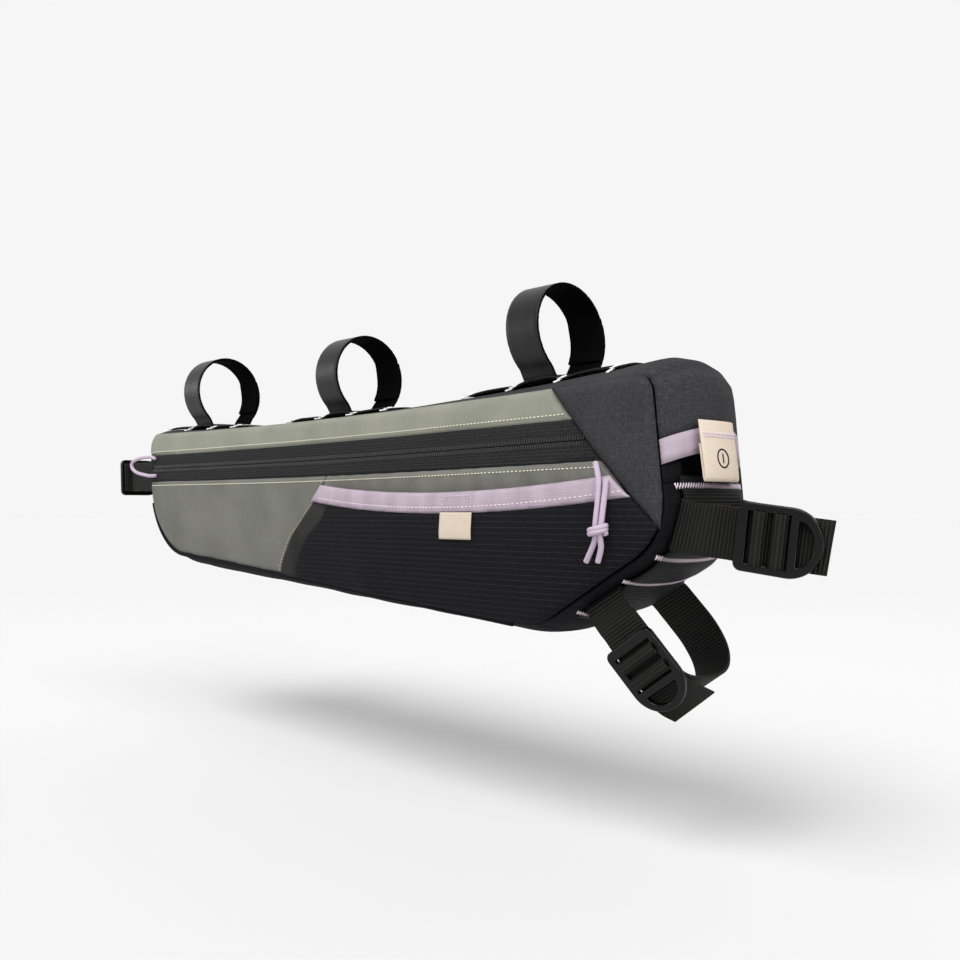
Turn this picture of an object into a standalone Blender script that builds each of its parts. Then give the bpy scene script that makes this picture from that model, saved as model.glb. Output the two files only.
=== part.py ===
"""A bicycle frame bag that hangs under a top tube, with hook-and-loop loops above it and buckled straps
round the down tube and the seat tube.

Metres. X points to the front of the bicycle, Z up, and the zip side faces -Y. The origin lies on the top
tube's axis, over the middle strap.
"""
import math

import bpy
from mathutils import Matrix, Vector

MM = 0.001

# Clearances and cloth
GAP = 0.35 * MM                 # between neighbouring pieces
SEAT = 1.0 * MM                 # under a piece that lies on a curved one
FABRIC = 1.6 * MM               # shell cloth with its seam tape
BINDING_THICK = 2.6 * MM        # folded grosgrain over a cloth edge
LABEL_THICK = 1.0 * MM
WEB = 1.6 * MM                  # webbing thickness
HOOK_TAPE = 1.8 * MM            # hook-and-loop strap thickness
CHAIN_THICK = 1.4 * MM

# Bag body, seen from the side
BAG_LENGTH = 568 * MM
BAG_DEPTH = 132 * MM
BAG_REAR = 271 * MM             # from the middle strap back to the rear end
TUBE_TO_SEAM = 34 * MM          # from the top tube's axis down to the top seam's ends
HALF_FRONT = 36 * MM            # half the width between the side seams, at the front
HALF_REAR = 30 * MM
SIDE_PUFF = 4 * MM
PUFF_RUN = 50 * MM              # distance from a seam over which a side panel swells
GRID_X = 19 * MM                # facets of the side layers
GRID_Z = 13 * MM
MOUTH_STEPS = 10
SEAM_STEPS = 96

# Corners of the side seam, clockwise from the rear top. along is a share of BAG_LENGTH, down and radius
# are shares of BAG_DEPTH, and bow is how far the side after the corner bows out, as a share of BAG_DEPTH.
CORNERS = (
    # name, along, down, radius, bow
    ("rear_top", 0.000, 0.000, 0.10, -0.030),
    ("front_top", 0.985, 0.000, 0.07, 0.000),
    ("chin", 1.000, 0.620, 0.26, 0.000),
    ("heel", 0.845, 1.000, 0.42, 0.000),
    ("rear_bottom", 0.012, 0.755, 0.50, 0.000),
)

# Zip band and pocket on the near side, measured down from the top tube's axis
ZIP_TOP = 54 * MM
ZIP_BAND = 22 * MM
COIL_WIDTH = 7 * MM
COIL_RISE = 0.6 * MM
MOUTH_DROP = 84 * MM            # ends of the pocket's bound edge
MOUTH_SAG = 7 * MM
BINDING_WIDTH = 12.5 * MM
POCKET_DEPTH = 7.5 * MM
POCKET_REAR = 7 * MM            # rear end of the bound edge
LABEL_WIDTH = 27 * MM
LABEL_HEIGHT = 15 * MM
LABEL_AT = 157 * MM
CORNER_RUN = 79 * MM            # the corner panel's length along the top seam, back from the bag's front end
DIAGONAL_TOP = BAG_LENGTH - BAG_REAR - CORNER_RUN
DIAGONAL_LEAN = 0.955           # forward run of that edge for each unit down

# The gore's seam and the pocket's rear edge. down is a share of the way from the bound edge's end to
# the lowest seam; gore and pocket are shares of GORE_RUN behind POCKET_REAR.
GORE_RUN = 61 * MM
GORE = (
    # down, gore, pocket
    (-0.10, -0.07, -0.14),
    (0.00, 0.00, -0.15),
    (0.16, 0.21, -0.14),
    (0.30, 0.44, 0.00),
    (0.44, 0.67, 0.29),
    (0.58, 0.83, 0.47),
    (0.70, 0.95, 0.60),
    (0.80, 1.00, 0.62),
    (1.10, 1.02, 0.62),
)

# Gusset pieces round the seam. start and end are corners with a run past them, and the crowns are how
# far the piece swells outwards at its start, middle and end, as shares of GUSSET_CROWN.
GUSSET_CROWN = 12 * MM
PORT_DROP = 38 * MM             # from the top front corner down to the hood's bound edge
PORT_HEIGHT = 13 * MM
PORT_HALF = 22 * MM
PORT_CUT = 30 * MM              # reach of the port's cutter past the cloth, each way
PORT_ARCH = 6 * MM              # how much lower the bound edge is at its sides
GUSSETS = (
    # name, start corner, start run, end corner, end run, crown at start, middle, end
    ("top_gusset", "rear_top", 0.0, "front_top", 0.0, 0.42, 0.22, 0.98),
    ("front_gusset", "front_top", 0.0, "front_top", PORT_DROP - BINDING_WIDTH, 0.98, 1.04, 1.00),
    ("port_band", "front_top", PORT_DROP - BINDING_WIDTH, "front_top", PORT_DROP, 1.02, 1.00, 0.98),
    ("chin_gusset", "front_top", PORT_DROP + MM, "heel", 0.0, 0.36, 0.36, 0.46),
    ("bottom_gusset", "heel", 0.0, "rear_bottom", 0.0, 0.46, 0.66, 0.52),
    ("rear_gusset", "rear_bottom", 0.0, "rear_top", 0.0, 0.52, 0.36, 0.42),
)

JOINT_GAP = 0.5 * MM            # between gusset pieces end to end
STATION_TURN = math.radians(9)  # facets of the gussets
STATION_RUN = 30 * MM
RIBBON_ACROSS = (-0.5, 0.0, 0.5)
GUSSET_ACROSS = (-1.0, -0.82, -0.5, 0.0, 0.5, 0.82, 1.0)

# Webbing ladders that the straps pass under. Each slot lies between two tacks.
TOP_CHAIN_WIDTH = 38 * MM
TOP_TACK_PITCH = 38 * MM
TOP_HUMP = 4.5 * MM
CHAIN_END = 5 * MM              # webbing past the last tack
FRONT_CHAIN_WIDTH = 50 * MM
FRONT_TACKS = (36 * MM, 24 * MM, 36 * MM)
FRONT_CHAIN_DROP = 55 * MM      # from the top front corner down to the first tack
FRONT_HUMP = 5.5 * MM
REAR_CHAIN_WIDTH = 34 * MM
REAR_SLOT = 36 * MM
REAR_HUMP = 5.5 * MM

# Loops round the top tube
TOP_STRAP_PITCH = 195 * MM
TOP_STRAP_WIDTH = 25 * MM
TOP_LOOP_RADIUS = 27.5 * MM
TOP_STRAPS = (
    # name, place in pitches ahead of the middle strap, loop's height
    ("rear", -1, 58 * MM),
    ("middle", 0, 55 * MM),
    ("front", 1, 59 * MM),
)
OVERLAP_START = 60              # degrees above level where the loop's outer end lies, on the far side

# Buckled straps
STRAP_WIDTH = 25 * MM
STRAP_ROOT = 3 * MM             # clearance of a strap's bend outside the ladder's edge
# A strap's root is the middle of its slot at the ladder's edge. Legs are shares of its reach and of half
# its width at the root.
NEAR_LEG = (
    # along, across
    (0.00, -1.00),
    (0.08, -1.00),
    (0.20, -0.93),
)
STRAPS = {
    # name: degrees above forward, reach, the buckle's start and depth as shares, its tilt, far leg
    "front_upper": {"aim": -8.0, "reach": 80 * MM, "start": 0.39, "depth": -0.79, "tilt": 13.0,
                    "far": ((0.00, 1.00), (0.10, 1.00), (0.30, 0.72), (0.52, 0.30), (0.74, -0.04))},
    "front_lower": {"aim": -56.0, "reach": 78 * MM, "start": 0.33, "depth": -0.93, "tilt": 18.0,
                    "far": ((0.00, 1.00), (0.14, 1.10), (0.34, 1.12), (0.54, 0.92), (0.70, 0.45))},
}
REAR_STRAP_DROP = 33 * MM       # from the top rear corner down to the slot's middle
REAR_REACH = 62 * MM
REAR_NEAR = (
    # along, across
    (0.96, -1.22),
    (0.80, -1.34),
    (0.40, -1.12),
    (0.06, -1.00),
)
REAR_FAR = (
    # along, across
    (0.06, 1.00),
    (0.40, 1.12),
    (0.78, 1.25),
)
BUCKLE_LENGTH = 46 * MM
BUCKLE_WIDTH = 33 * MM
BUCKLE_THICK = 3.5 * MM
BUCKLE_END_BAR = 6 * MM
BUCKLE_SIDE = 3.4 * MM
BUCKLE_BAR = 3 * MM
BAR_1 = 12.5 * MM               # centres of the two webbing bars, from the buckle's square end
BAR_2 = 24.5 * MM
D_BAR = 31.5 * MM
D_BAR_WIDTH = 4 * MM
D_RIM = 4 * MM
WRAP_CLEAR = 0.9 * MM
SEWN_END = 12 * MM              # webbing's sewn end, behind the buckle's square end
SEWN_LEG = 6 * MM
RUNNING_LAP = 6 * MM            # running leg's start, ahead of the D bar
TAIL_END = 8 * MM               # running end past the buckle's tip

# Tag over the cable port
TAG_WIDTH = 33 * MM
TAG_DROP = 27 * MM
TAG_AT = -7 * MM
TAG_THICK = 1.0 * MM
TAG_OPEN = 3.2 * MM             # distance between the folded loop's two layers at its widest

# Cords
CORD = 3 * MM
KNOT_WIDTH = 10 * MM
KNOT_HEIGHT = 7 * MM

# Route points of the cords, chosen by hand, as (x, depth off the side's surface, z) in millimetres. The
# pull's strands hang from the corner panel's edge to the knot, and its two tails below the knot. The
# rear loop leaves the zip's rear end and comes back to it.
PULL_STRANDS = {
    "pull_strand_rear": ((257.2, 2.1, -77.5), (260.3, 4.3, -82), (262.3, 5.4, -88), (262.6, 5.8, -98),
                         (262.6, 6, -108)),
    "pull_strand_front": ((266.3, 5, -86.5), (266.3, 5.4, -92), (266, 5.8, -100), (265.8, 6, -108.3)),
    "pull_tail_rear": ((261.2, 6, -115.9), (258.5, 5.4, -121), (253.5, 4.5, -128)),
    "pull_tail_front": ((265.2, 6, -115.9), (263.9, 5.4, -121), (260.7, 4.5, -128)),
}
KNOT_AT = (263.2, 6, -112)
END_LOOP = ((-252, 2.1, -56), (-263, 3, -54.5), (-279, 4, -55), (-291, 4, -58), (-292, 4, -63),
            (-284, 4, -67.5), (-270, 3, -70.3), (-259, 2.7, -71), (-250, 2.3, -71))

COLOURS = {
    # material: red, green, blue, roughness
    "sage_cloth": (0.36, 0.37, 0.31, 0.85),
    "charcoal_cloth": (0.055, 0.055, 0.062, 0.9),
    "black_ripstop": (0.022, 0.022, 0.026, 0.8),
    "black_webbing": (0.012, 0.012, 0.013, 0.75),
    "zip_black": (0.02, 0.02, 0.02, 0.7),
    "lavender": (0.50, 0.42, 0.52, 0.85),
    "cream_tape": (0.72, 0.62, 0.50, 0.9),
    "black_plastic": (0.014, 0.014, 0.015, 0.4),
    "hook_tape": (0.016, 0.016, 0.018, 0.5),
}


def clear_scene():
    for old in list(bpy.data.objects):
        bpy.data.objects.remove(old, do_unlink=True)


def collection(name):
    made = bpy.data.collections.new(name)
    bpy.context.scene.collection.children.link(made)
    return made


def material(name):
    red, green, blue, rough = COLOURS[name]
    made = bpy.data.materials.new(name)
    made.use_nodes = True
    shader = made.node_tree.nodes["Principled BSDF"]
    shader.inputs["Base Color"].default_value = (red, green, blue, 1.0)
    shader.inputs["Roughness"].default_value = rough
    return made


def put(obj, name, colour):
    """Names an object, gives it its own material and links it with the bag's pieces."""
    obj.name = name
    obj.data.name = name
    obj.data.materials.append(material(colour))
    PARTS.objects.link(obj)
    return obj


def mesh_object(name, verts, faces):
    mesh = bpy.data.meshes.new(name)
    mesh.from_pydata([tuple(v) for v in verts], [], faces)
    mesh.update()
    return bpy.data.objects.new(name, mesh)


def grid_object(name, rows):
    """A surface through equal rows of points."""
    across = len(rows[0])
    verts = [point for row in rows for point in row]
    faces = []
    for i in range(len(rows) - 1):
        for j in range(across - 1):
            a = i * across + j
            faces.append((a, a + across, a + across + 1, a + 1))
    return mesh_object(name, verts, faces)


def solidify(obj, thickness, offset):
    mod = obj.modifiers.new("cloth", "SOLIDIFY")
    mod.thickness = thickness
    mod.offset = offset
    mod.use_even_offset = True
    return mod


def boolean(obj, cutter, operation):
    mod = obj.modifiers.new(cutter.name, "BOOLEAN")
    mod.operation = operation
    mod.object = cutter
    mod.solver = "EXACT"
    return mod


def prism(name, polygon, near, far):
    """A cutter: a polygon of (x, z) points run along Y."""
    count = len(polygon)
    area = sum(polygon[i - 1][0] * polygon[i][1] - polygon[i][0] * polygon[i - 1][1] for i in range(count))
    if area < 0:
        polygon = list(reversed(polygon))
    verts = [(x, near, z) for x, z in polygon] + [(x, far, z) for x, z in polygon]
    faces = [tuple(range(count)), tuple(range(2 * count - 1, count - 1, -1))]
    for i in range(count):
        j = (i + 1) % count
        faces.append((i, count + i, count + j, j))
    obj = mesh_object(name, verts, faces)
    obj.hide_render = True
    obj.display_type = "WIRE"
    CUTTERS.objects.link(obj)
    return obj


# The side seam: straight or bowed sides joined by arcs, followed by its length

def corner_point(name):
    for row in CORNERS:
        if row[0] == name:
            return Vector((row[1] * BAG_LENGTH - BAG_REAR, -TUBE_TO_SEAM - row[2] * BAG_DEPTH))
    raise KeyError(name)


def seam_pieces():
    """Sides and corner arcs in order, and the length along the seam at each corner's middle."""
    count = len(CORNERS)
    points = [corner_point(row[0]) for row in CORNERS]
    arcs = []
    for i, row in enumerate(CORNERS):
        here = points[i]
        back = (points[i - 1] - here).normalized()
        ahead = (points[(i + 1) % count] - here).normalized()
        half_angle = 0.5 * math.acos(back.dot(ahead))
        radius = row[3] * BAG_DEPTH
        run = radius / math.tan(half_angle)
        centre = here + (back + ahead).normalized() * (radius / math.sin(half_angle))
        arcs.append({"start": here + back * run, "end": here + ahead * run, "centre": centre,
                     "radius": radius, "turn": math.pi - 2 * half_angle})
    pieces = []
    corner_at = {}
    length = 0.0
    for i, row in enumerate(CORNERS):
        arc = arcs[i]
        spread = arc["radius"] * arc["turn"]
        corner_at[row[0]] = length + 0.5 * spread
        pieces.append(("arc", length, spread, arc, 0.0))
        length += spread
        following = arcs[(i + 1) % count]
        side = (following["start"] - arc["end"]).length
        ends = {"start": arc["end"], "end": following["start"]}
        pieces.append(("side", length, side, ends, row[4] * BAG_DEPTH))
        length += side
    return pieces, corner_at, length


def seam(at):
    """Point, direction and outward normal of the side seam, as (x, z) vectors."""
    at %= SEAM_LENGTH
    for kind, start, length, data, bow in SEAM_PIECES:
        if at <= start + length or data is SEAM_PIECES[-1][3]:
            share = (at - start) / length
            break
    if kind == "arc":
        first = data["start"] - data["centre"]
        angle = -data["turn"] * share
        spoke = Vector((first.x * math.cos(angle) - first.y * math.sin(angle),
                        first.x * math.sin(angle) + first.y * math.cos(angle)))
        normal = spoke.normalized()
        return data["centre"] + spoke, Vector((normal.y, -normal.x)), normal
    line = data["end"] - data["start"]
    straight = line.normalized()
    outward = Vector((-straight.y, straight.x))
    point = data["start"] + line * share + outward * (bow * 4 * share * (1 - share))
    direction = (line + outward * (bow * 4 * (1 - 2 * share))).normalized()
    return point, direction, Vector((-direction.y, direction.x))


def seam_polygon(steps):
    return [tuple(seam(SEAM_LENGTH * i / steps)[0]) for i in range(steps)]


def half_width(x):
    share = (x + BAG_REAR) / BAG_LENGTH
    share = min(max(share, 0.0), 1.0)
    return HALF_REAR + (HALF_FRONT - HALF_REAR) * share


def seam_distance(x, z):
    """Distance from a point of a side panel to the seam, zero outside it."""
    here = Vector((x, z))
    best = 1.0
    inside = False
    count = len(SEAM_POINTS)
    for i in range(count):
        a = Vector(SEAM_POINTS[i])
        b = Vector(SEAM_POINTS[(i + 1) % count])
        line = b - a
        share = min(max((here - a).dot(line) / line.length_squared, 0.0), 1.0)
        best = min(best, (here - a - line * share).length)
        if (a.y > z) != (b.y > z) and x < a.x + (z - a.y) * line.x / line.y:
            inside = not inside
    return best if inside else 0.0


def swell(x, z):
    """How far a side panel stands out beyond its seam."""
    share = min(seam_distance(x, z) / PUFF_RUN, 1.0)
    return SIDE_PUFF * (1 - (1 - share) ** 2)


# Lines on the near side

def diagonal(z):
    """Rear edge of the corner panel."""
    return DIAGONAL_TOP + (-TUBE_TO_SEAM - z) * DIAGONAL_LEAN


def mouth_curve(x):
    """Height of the pocket's bound edge."""
    front = diagonal(-MOUTH_DROP)
    share = (x - POCKET_REAR) / (front - POCKET_REAR)
    return -MOUTH_DROP - MOUTH_SAG * max(4 * share * (1 - share), -0.2)


def mouth(x):
    """Height of the pocket's bound edge, in the straight steps that its pieces share."""
    knots = mouth_knots()
    for a, b in zip(knots, knots[1:]):
        if x <= b:
            break
    share = (x - a) / (b - a)
    return mouth_curve(a) * (1 - share) + mouth_curve(b) * share


def gore_line(z, column):
    """x of the gore's seam (column 1) or of the pocket's rear edge (column 2)."""
    lowest = -TUBE_TO_SEAM - BAG_DEPTH
    down = (-MOUTH_DROP - z) / (-MOUTH_DROP - lowest)
    down = min(max(down, GORE[0][0]), GORE[-1][0])
    for low, high in zip(GORE, GORE[1:]):
        if down <= high[0]:
            share = (down - low[0]) / (high[0] - low[0])
            return POCKET_REAR - GORE_RUN * (low[column] + (high[column] - low[column]) * share)
    return POCKET_REAR - GORE_RUN * GORE[-1][column]


def pocket_lift(x, z):
    """How far the pocket's layer stands off the panel behind it, beyond lying flat on it."""
    rear = gore_line(z, 1)
    along = min(max((x - rear) / (diagonal(z) - rear), 0.0), 1.0)
    lowest = -TUBE_TO_SEAM - BAG_DEPTH
    up = min(max((z - lowest) / (mouth(x) - lowest), 0.0), 1.0)
    fullness = math.sin(0.5 * math.pi * min(up / 0.7, 1.0))
    closing = 1.0 - 0.25 * max(0.0, (up - 0.7) / 0.3)
    return POCKET_DEPTH * math.sin(math.pi * along) ** 0.8 * fullness * closing


def grid_lines(low, high, start, step):
    """The shared grid's lines that cover a range."""
    first = math.floor((low - start) / step)
    last = math.ceil((high - start) / step)
    return [start + step * i for i in range(first, last + 1)]


def side_panel(name, colour, region, thickness, level, x_range, z_range, side=-1, coarse=1):
    """One panel of a side: a swelled sheet cut to the seam and to a region of (x, z) points. Its outer
    surface stands level(x, z) beyond the swell. Layers share one grid, so that they lie parallel."""
    xs = grid_lines(*x_range, -BAG_REAR, coarse * GRID_X)
    zs = grid_lines(*z_range, -TUBE_TO_SEAM, coarse * GRID_Z)
    grid = []
    for z in reversed(zs):
        grid.append([Vector((x, side * (half_width(x) + swell(x, z) + level(x, z)), z)) for x in xs])
    if side > 0:
        grid.reverse()
    sheet = grid_object(name, grid)
    solidify(sheet, thickness, -1.0)
    boolean(sheet, SEAM_CUTTER, "INTERSECT")
    if region:
        reach = 2 * HALF_FRONT
        cutter = prism("cut_" + name, region, min(0, side * reach), max(0, side * reach))
        boolean(sheet, cutter, "INTERSECT")
    return put(sheet, name, colour)


def mouth_knots():
    front = diagonal(-MOUTH_DROP - BINDING_WIDTH) + BINDING_WIDTH
    return [POCKET_REAR + (front - POCKET_REAR) * i / MOUTH_STEPS for i in range(MOUTH_STEPS + 1)]


def mouth_line(x_from, x_to, drop):
    """Points along the bound edge, drop below it, between two places."""
    inner = [x for x in mouth_knots() if x_from + MM < x < x_to - MM]
    return [(x, mouth(x) - drop) for x in [x_from] + inner + [x_to]]


def gore_points(column, z_top, shift):
    """Points down the gore's seam or the pocket's rear edge, from a height to below the bag."""
    lowest = -TUBE_TO_SEAM - BAG_DEPTH
    heights = [-MOUTH_DROP - row[0] * (-MOUTH_DROP - lowest) for row in GORE]
    points = [(gore_line(z_top, column) + shift, z_top)]
    points += [(gore_line(z, column) + shift, z) for z in heights if z < z_top - MM]
    return points


def build_sides():
    left = -BAG_REAR - 5 * MM
    right = BAG_LENGTH - BAG_REAR + 5 * MM
    top = -TUBE_TO_SEAM + 5 * MM
    bottom = -TUBE_TO_SEAM - BAG_DEPTH - 5 * MM
    edge = 0.5 * GAP
    zip_low = -ZIP_TOP - ZIP_BAND
    zip_mid = -ZIP_TOP - 0.5 * ZIP_BAND
    coil_high = zip_mid + 0.5 * COIL_WIDTH
    coil_low = zip_mid - 0.5 * COIL_WIDTH
    layer = FABRIC + GAP

    def flat(x, z):
        return 0.0

    def pocket_level(x, z):
        return layer + pocket_lift(x, z)

    def strip(name, colour, high, low, thickness, rise):
        region = [(left, high), (diagonal(high) - edge, high), (diagonal(low) - edge, low), (left, low)]
        side_panel(name, colour, region, thickness, lambda x, z: rise, (left, diagonal(low)), (low, high))

    strip("side_panel_upper", "sage_cloth", top, -ZIP_TOP + edge, FABRIC, 0.0)
    strip("zipper_tape_upper", "zip_black", -ZIP_TOP - edge, coil_high + edge, FABRIC, 0.0)
    strip("zipper_coil", "zip_black", coil_high - edge, coil_low + edge, FABRIC + COIL_RISE, COIL_RISE)
    strip("zipper_tape_lower", "zip_black", coil_low - edge, zip_low + edge, FABRIC, 0.0)
    lower = [(left, zip_low - edge), (diagonal(zip_low) - edge, zip_low - edge),
             (diagonal(bottom) - edge, bottom), (left, bottom)]
    side_panel("side_panel_lower", "sage_cloth", lower, FABRIC, flat, (left, right), (bottom, zip_low))
    corner = [(diagonal(top) + edge, top), (diagonal(bottom) + edge, top), (diagonal(bottom) + edge, bottom)]
    side_panel("corner_panel", "charcoal_cloth", corner, FABRIC + layer, lambda x, z: layer,
               (DIAGONAL_TOP, right), (bottom, top))

    # The pocket: its rear edge and the gore's seam both start on the bound edge's lower line
    deep = BINDING_WIDTH + edge
    pocket_start = gore_line(mouth(POCKET_REAR) - deep, 2)
    pocket_top = mouth(pocket_start) - deep
    front_top = diagonal(mouth(diagonal(-MOUTH_DROP - deep)) - deep) - edge
    front_edge = [(front_top, mouth(front_top) - deep), (diagonal(bottom) - edge, bottom)]
    rear_edge = gore_points(2, pocket_top, 0.0)
    pocket = mouth_line(pocket_start, front_top, deep) + front_edge[1:]
    pocket += list(reversed(rear_edge[1:]))
    pocket_x = (POCKET_REAR - GORE_RUN, right)
    pocket_z = (bottom, -MOUTH_DROP)
    side_panel("pocket_panel", "black_ripstop", pocket, FABRIC, pocket_level, pocket_x, pocket_z)
    gore_top = mouth(POCKET_REAR - 0.25 * GORE_RUN) - deep
    gore_start = gore_line(gore_top, 1)
    gore = [(gore_start, mouth(gore_start) - deep), (pocket_start - GAP, mouth(pocket_start - GAP) - deep)]
    gore += gore_points(2, pocket_top, -GAP)[1:] + list(reversed(gore_points(1, gore_top, 0.0)[1:]))
    side_panel("pocket_gore", "sage_cloth", gore, FABRIC, pocket_level,
               (POCKET_REAR - GORE_RUN, pocket_start), pocket_z)

    rear_low = gore_line(mouth(POCKET_REAR) - BINDING_WIDTH, 1)
    end_high = diagonal(-MOUTH_DROP) - edge
    end_low = diagonal(mouth(front_top) - BINDING_WIDTH) - edge
    binding = mouth_line(POCKET_REAR, end_high, 0.0)
    binding += list(reversed(mouth_line(rear_low, end_low, BINDING_WIDTH - edge)))
    rise = BINDING_THICK - FABRIC
    side_panel("pocket_binding", "lavender", binding, BINDING_THICK,
               lambda x, z: pocket_level(x, z) + rise, (rear_low, right),
               (-MOUTH_DROP - MOUTH_SAG - BINDING_WIDTH, -MOUTH_DROP + 2 * MM))

    label_top = mouth(LABEL_AT) - BINDING_WIDTH - 2 * GAP
    label_x = (LABEL_AT - 0.5 * LABEL_WIDTH, LABEL_AT + 0.5 * LABEL_WIDTH)
    label_z = (label_top - LABEL_HEIGHT, label_top)
    label = [(label_x[0], label_z[1]), (label_x[1], label_z[1]), (label_x[1], label_z[0]),
             (label_x[0], label_z[0])]
    side_panel("pocket_label", "cream_tape", label, LABEL_THICK,
               lambda x, z: pocket_level(x, z) + LABEL_THICK + GAP, label_x, label_z)
    side_panel("far_side_panel", "charcoal_cloth", None, FABRIC, flat, (left, right), (bottom, top),
               side=1, coarse=2)


# Gussets between the two side seams

def gusset_row(name):
    for row in GUSSETS:
        if row[0] == name:
            return row
    raise KeyError(name)


def gusset_span(name):
    row = gusset_row(name)
    start = CORNER_AT[row[1]] + row[2]
    end = CORNER_AT[row[3]] + row[4]
    if end < start:
        end += SEAM_LENGTH
    return start, end


def gusset_point(name, at, across, offset):
    """A point over a gusset piece: at is the length along the seam, across runs from -1 to 1, and
    offset is measured outwards from the cloth."""
    start, end = gusset_span(name)
    crowns = gusset_row(name)[5:]
    share = min(max((at - start) / (end - start), 0.0), 1.0)
    crown = (crowns[0] * (1 - share) * (1 - 2 * share) + crowns[1] * 4 * share * (1 - share)
             + crowns[2] * share * (2 * share - 1)) * GUSSET_CROWN
    point, direction, normal = seam(at)
    out = point + normal * (crown * (1 - abs(across) ** 2.4) + offset)
    half = half_width(point.x) - FABRIC - GAP
    return Vector((out.x, across * half, out.y))


def arch(name, share, across):
    """Drop of the hood's bound edge towards its sides."""
    if name == "front_gusset":
        return PORT_ARCH * across ** 2 * share
    if name == "port_band":
        return PORT_ARCH * across ** 2
    if name == "chin_gusset":
        return PORT_ARCH * across ** 2 * max(0.0, 1 - 6 * share)
    return 0.0


def stations(start, end):
    """Lengths along the seam from start to end, closer together where it turns."""
    places = [start]
    steps = max(int((end - start) / (1.5 * MM)), 4)
    turned = 0.0
    last = seam(start)[1]
    for i in range(1, steps):
        at = start + (end - start) * i / steps
        direction = seam(at)[1]
        turned += last.angle(direction)
        last = direction
        if turned > STATION_TURN or at - places[-1] > STATION_RUN:
            places.append(at)
            turned = 0.0
    if end - places[-1] < 2 * MM and len(places) > 2:
        places.pop()
    return places + [end]


def gusset(name, colour, thickness):
    start, end = gusset_span(name)
    rows = []
    for at in stations(start + 0.5 * JOINT_GAP, end - 0.5 * JOINT_GAP):
        share = (at - start) / (end - start)
        rows.append([gusset_point(name, at + arch(name, share, t), t, 0.0) for t in GUSSET_ACROSS])
    sheet = grid_object(name, rows)
    solidify(sheet, thickness, -1.0)
    return put(sheet, name, colour)


def build_gussets():
    gusset("top_gusset", "charcoal_cloth", FABRIC)
    gusset("front_gusset", "charcoal_cloth", FABRIC)
    gusset("port_band", "lavender", BINDING_THICK)
    chin = gusset("chin_gusset", "black_ripstop", FABRIC)
    gusset("bottom_gusset", "black_ripstop", FABRIC)
    gusset("rear_gusset", "black_ripstop", FABRIC)
    port_at = seam(CORNER_AT["front_top"] + PORT_DROP)[0]
    slot = [(port_at.x - PORT_CUT, port_at.y + PORT_CUT), (port_at.x + PORT_CUT, port_at.y + PORT_CUT),
            (port_at.x + PORT_CUT, port_at.y - PORT_HEIGHT), (port_at.x - PORT_CUT, port_at.y - PORT_HEIGHT)]
    boolean(chin, prism("cut_port", slot, -PORT_HALF, PORT_HALF), "DIFFERENCE")


def ladder(name, piece, tacks, width, hump, columns):
    """Webbing tacked across at each of the given lengths along the seam, standing off between them."""
    places = [(tacks[0] - CHAIN_END, 0.0)]
    for low, high in zip(tacks, tacks[1:]):
        for share in (0.04, 0.16, 0.32, 0.5, 0.68, 0.84, 0.96):
            height = hump * (1 - abs(2 * share - 1) ** 4) if 0.1 < share < 0.9 else 0.0
            places.append((low + (high - low) * share, height))
    places.append((tacks[-1] + CHAIN_END, 0.0))
    rows = []
    for at, height in places:
        half = half_width(seam(at)[0].x) - FABRIC - GAP
        row = []
        for column in range(columns):
            across = 0.5 * width * (2 * column / (columns - 1) - 1) / half
            row.append(gusset_point(piece, at, across, SEAT + CHAIN_THICK + height))
        rows.append(row)
    sheet = grid_object(name, rows)
    solidify(sheet, CHAIN_THICK, -1.0)
    return put(sheet, name, "black_webbing")


def top_at(x):
    """Length along the seam of the top side's point nearest an x."""
    low, high = CORNER_AT["rear_top"], CORNER_AT["front_top"]
    for step in range(40):
        middle = 0.5 * (low + high)
        if seam(middle)[0].x < x:
            low = middle
        else:
            high = middle
    return low


def front_tacks():
    places = [CORNER_AT["front_top"] + FRONT_CHAIN_DROP]
    for pitch in FRONT_TACKS:
        places.append(places[-1] + pitch)
    return places


def rear_slot():
    middle = CORNER_AT["rear_top"] + SEAM_LENGTH - REAR_STRAP_DROP
    return middle - 0.5 * REAR_SLOT, middle + 0.5 * REAR_SLOT


def build_ladders():
    for name, number, height in TOP_STRAPS:
        middle = top_at(number * TOP_STRAP_PITCH)
        tacks = [middle + TOP_TACK_PITCH * step for step in (-1.5, -0.5, 0.5, 1.5)]
        ladder("top_chain_" + name, "top_gusset", tacks, TOP_CHAIN_WIDTH, TOP_HUMP, 5)
    ladder("front_chain", "chin_gusset", front_tacks(), FRONT_CHAIN_WIDTH, FRONT_HUMP, 5)
    ladder("rear_chain", "rear_gusset", rear_slot(), REAR_CHAIN_WIDTH, REAR_HUMP, 5)


# Straps: ribbons through rows of points across their width

def flat_row(point, side, width):
    return [point + side * (width * share) for share in RIBBON_ACROSS]


def seated_row(piece, at, y, lift, width):
    """A strap's row lying on a gusset piece, y across the bag, its width along the seam."""
    half = half_width(seam(at)[0].x) - FABRIC - GAP
    return [gusset_point(piece, at - width * share, y / half, lift) for share in RIBBON_ACROSS]


def edge_root(piece, at, y, lift):
    """A strap's root: on the bag's middle plane, as far out as the strap lies at the ladder's edge."""
    half = half_width(seam(at)[0].x) - FABRIC - GAP
    place = gusset_point(piece, at, y / half, lift)
    return Vector((place.x, 0.0, place.z))


def ribbon(name, colour, rows, thickness):
    sheet = grid_object(name, rows)
    solidify(sheet, thickness, 0.0)
    return put(sheet, name, colour)


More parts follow.
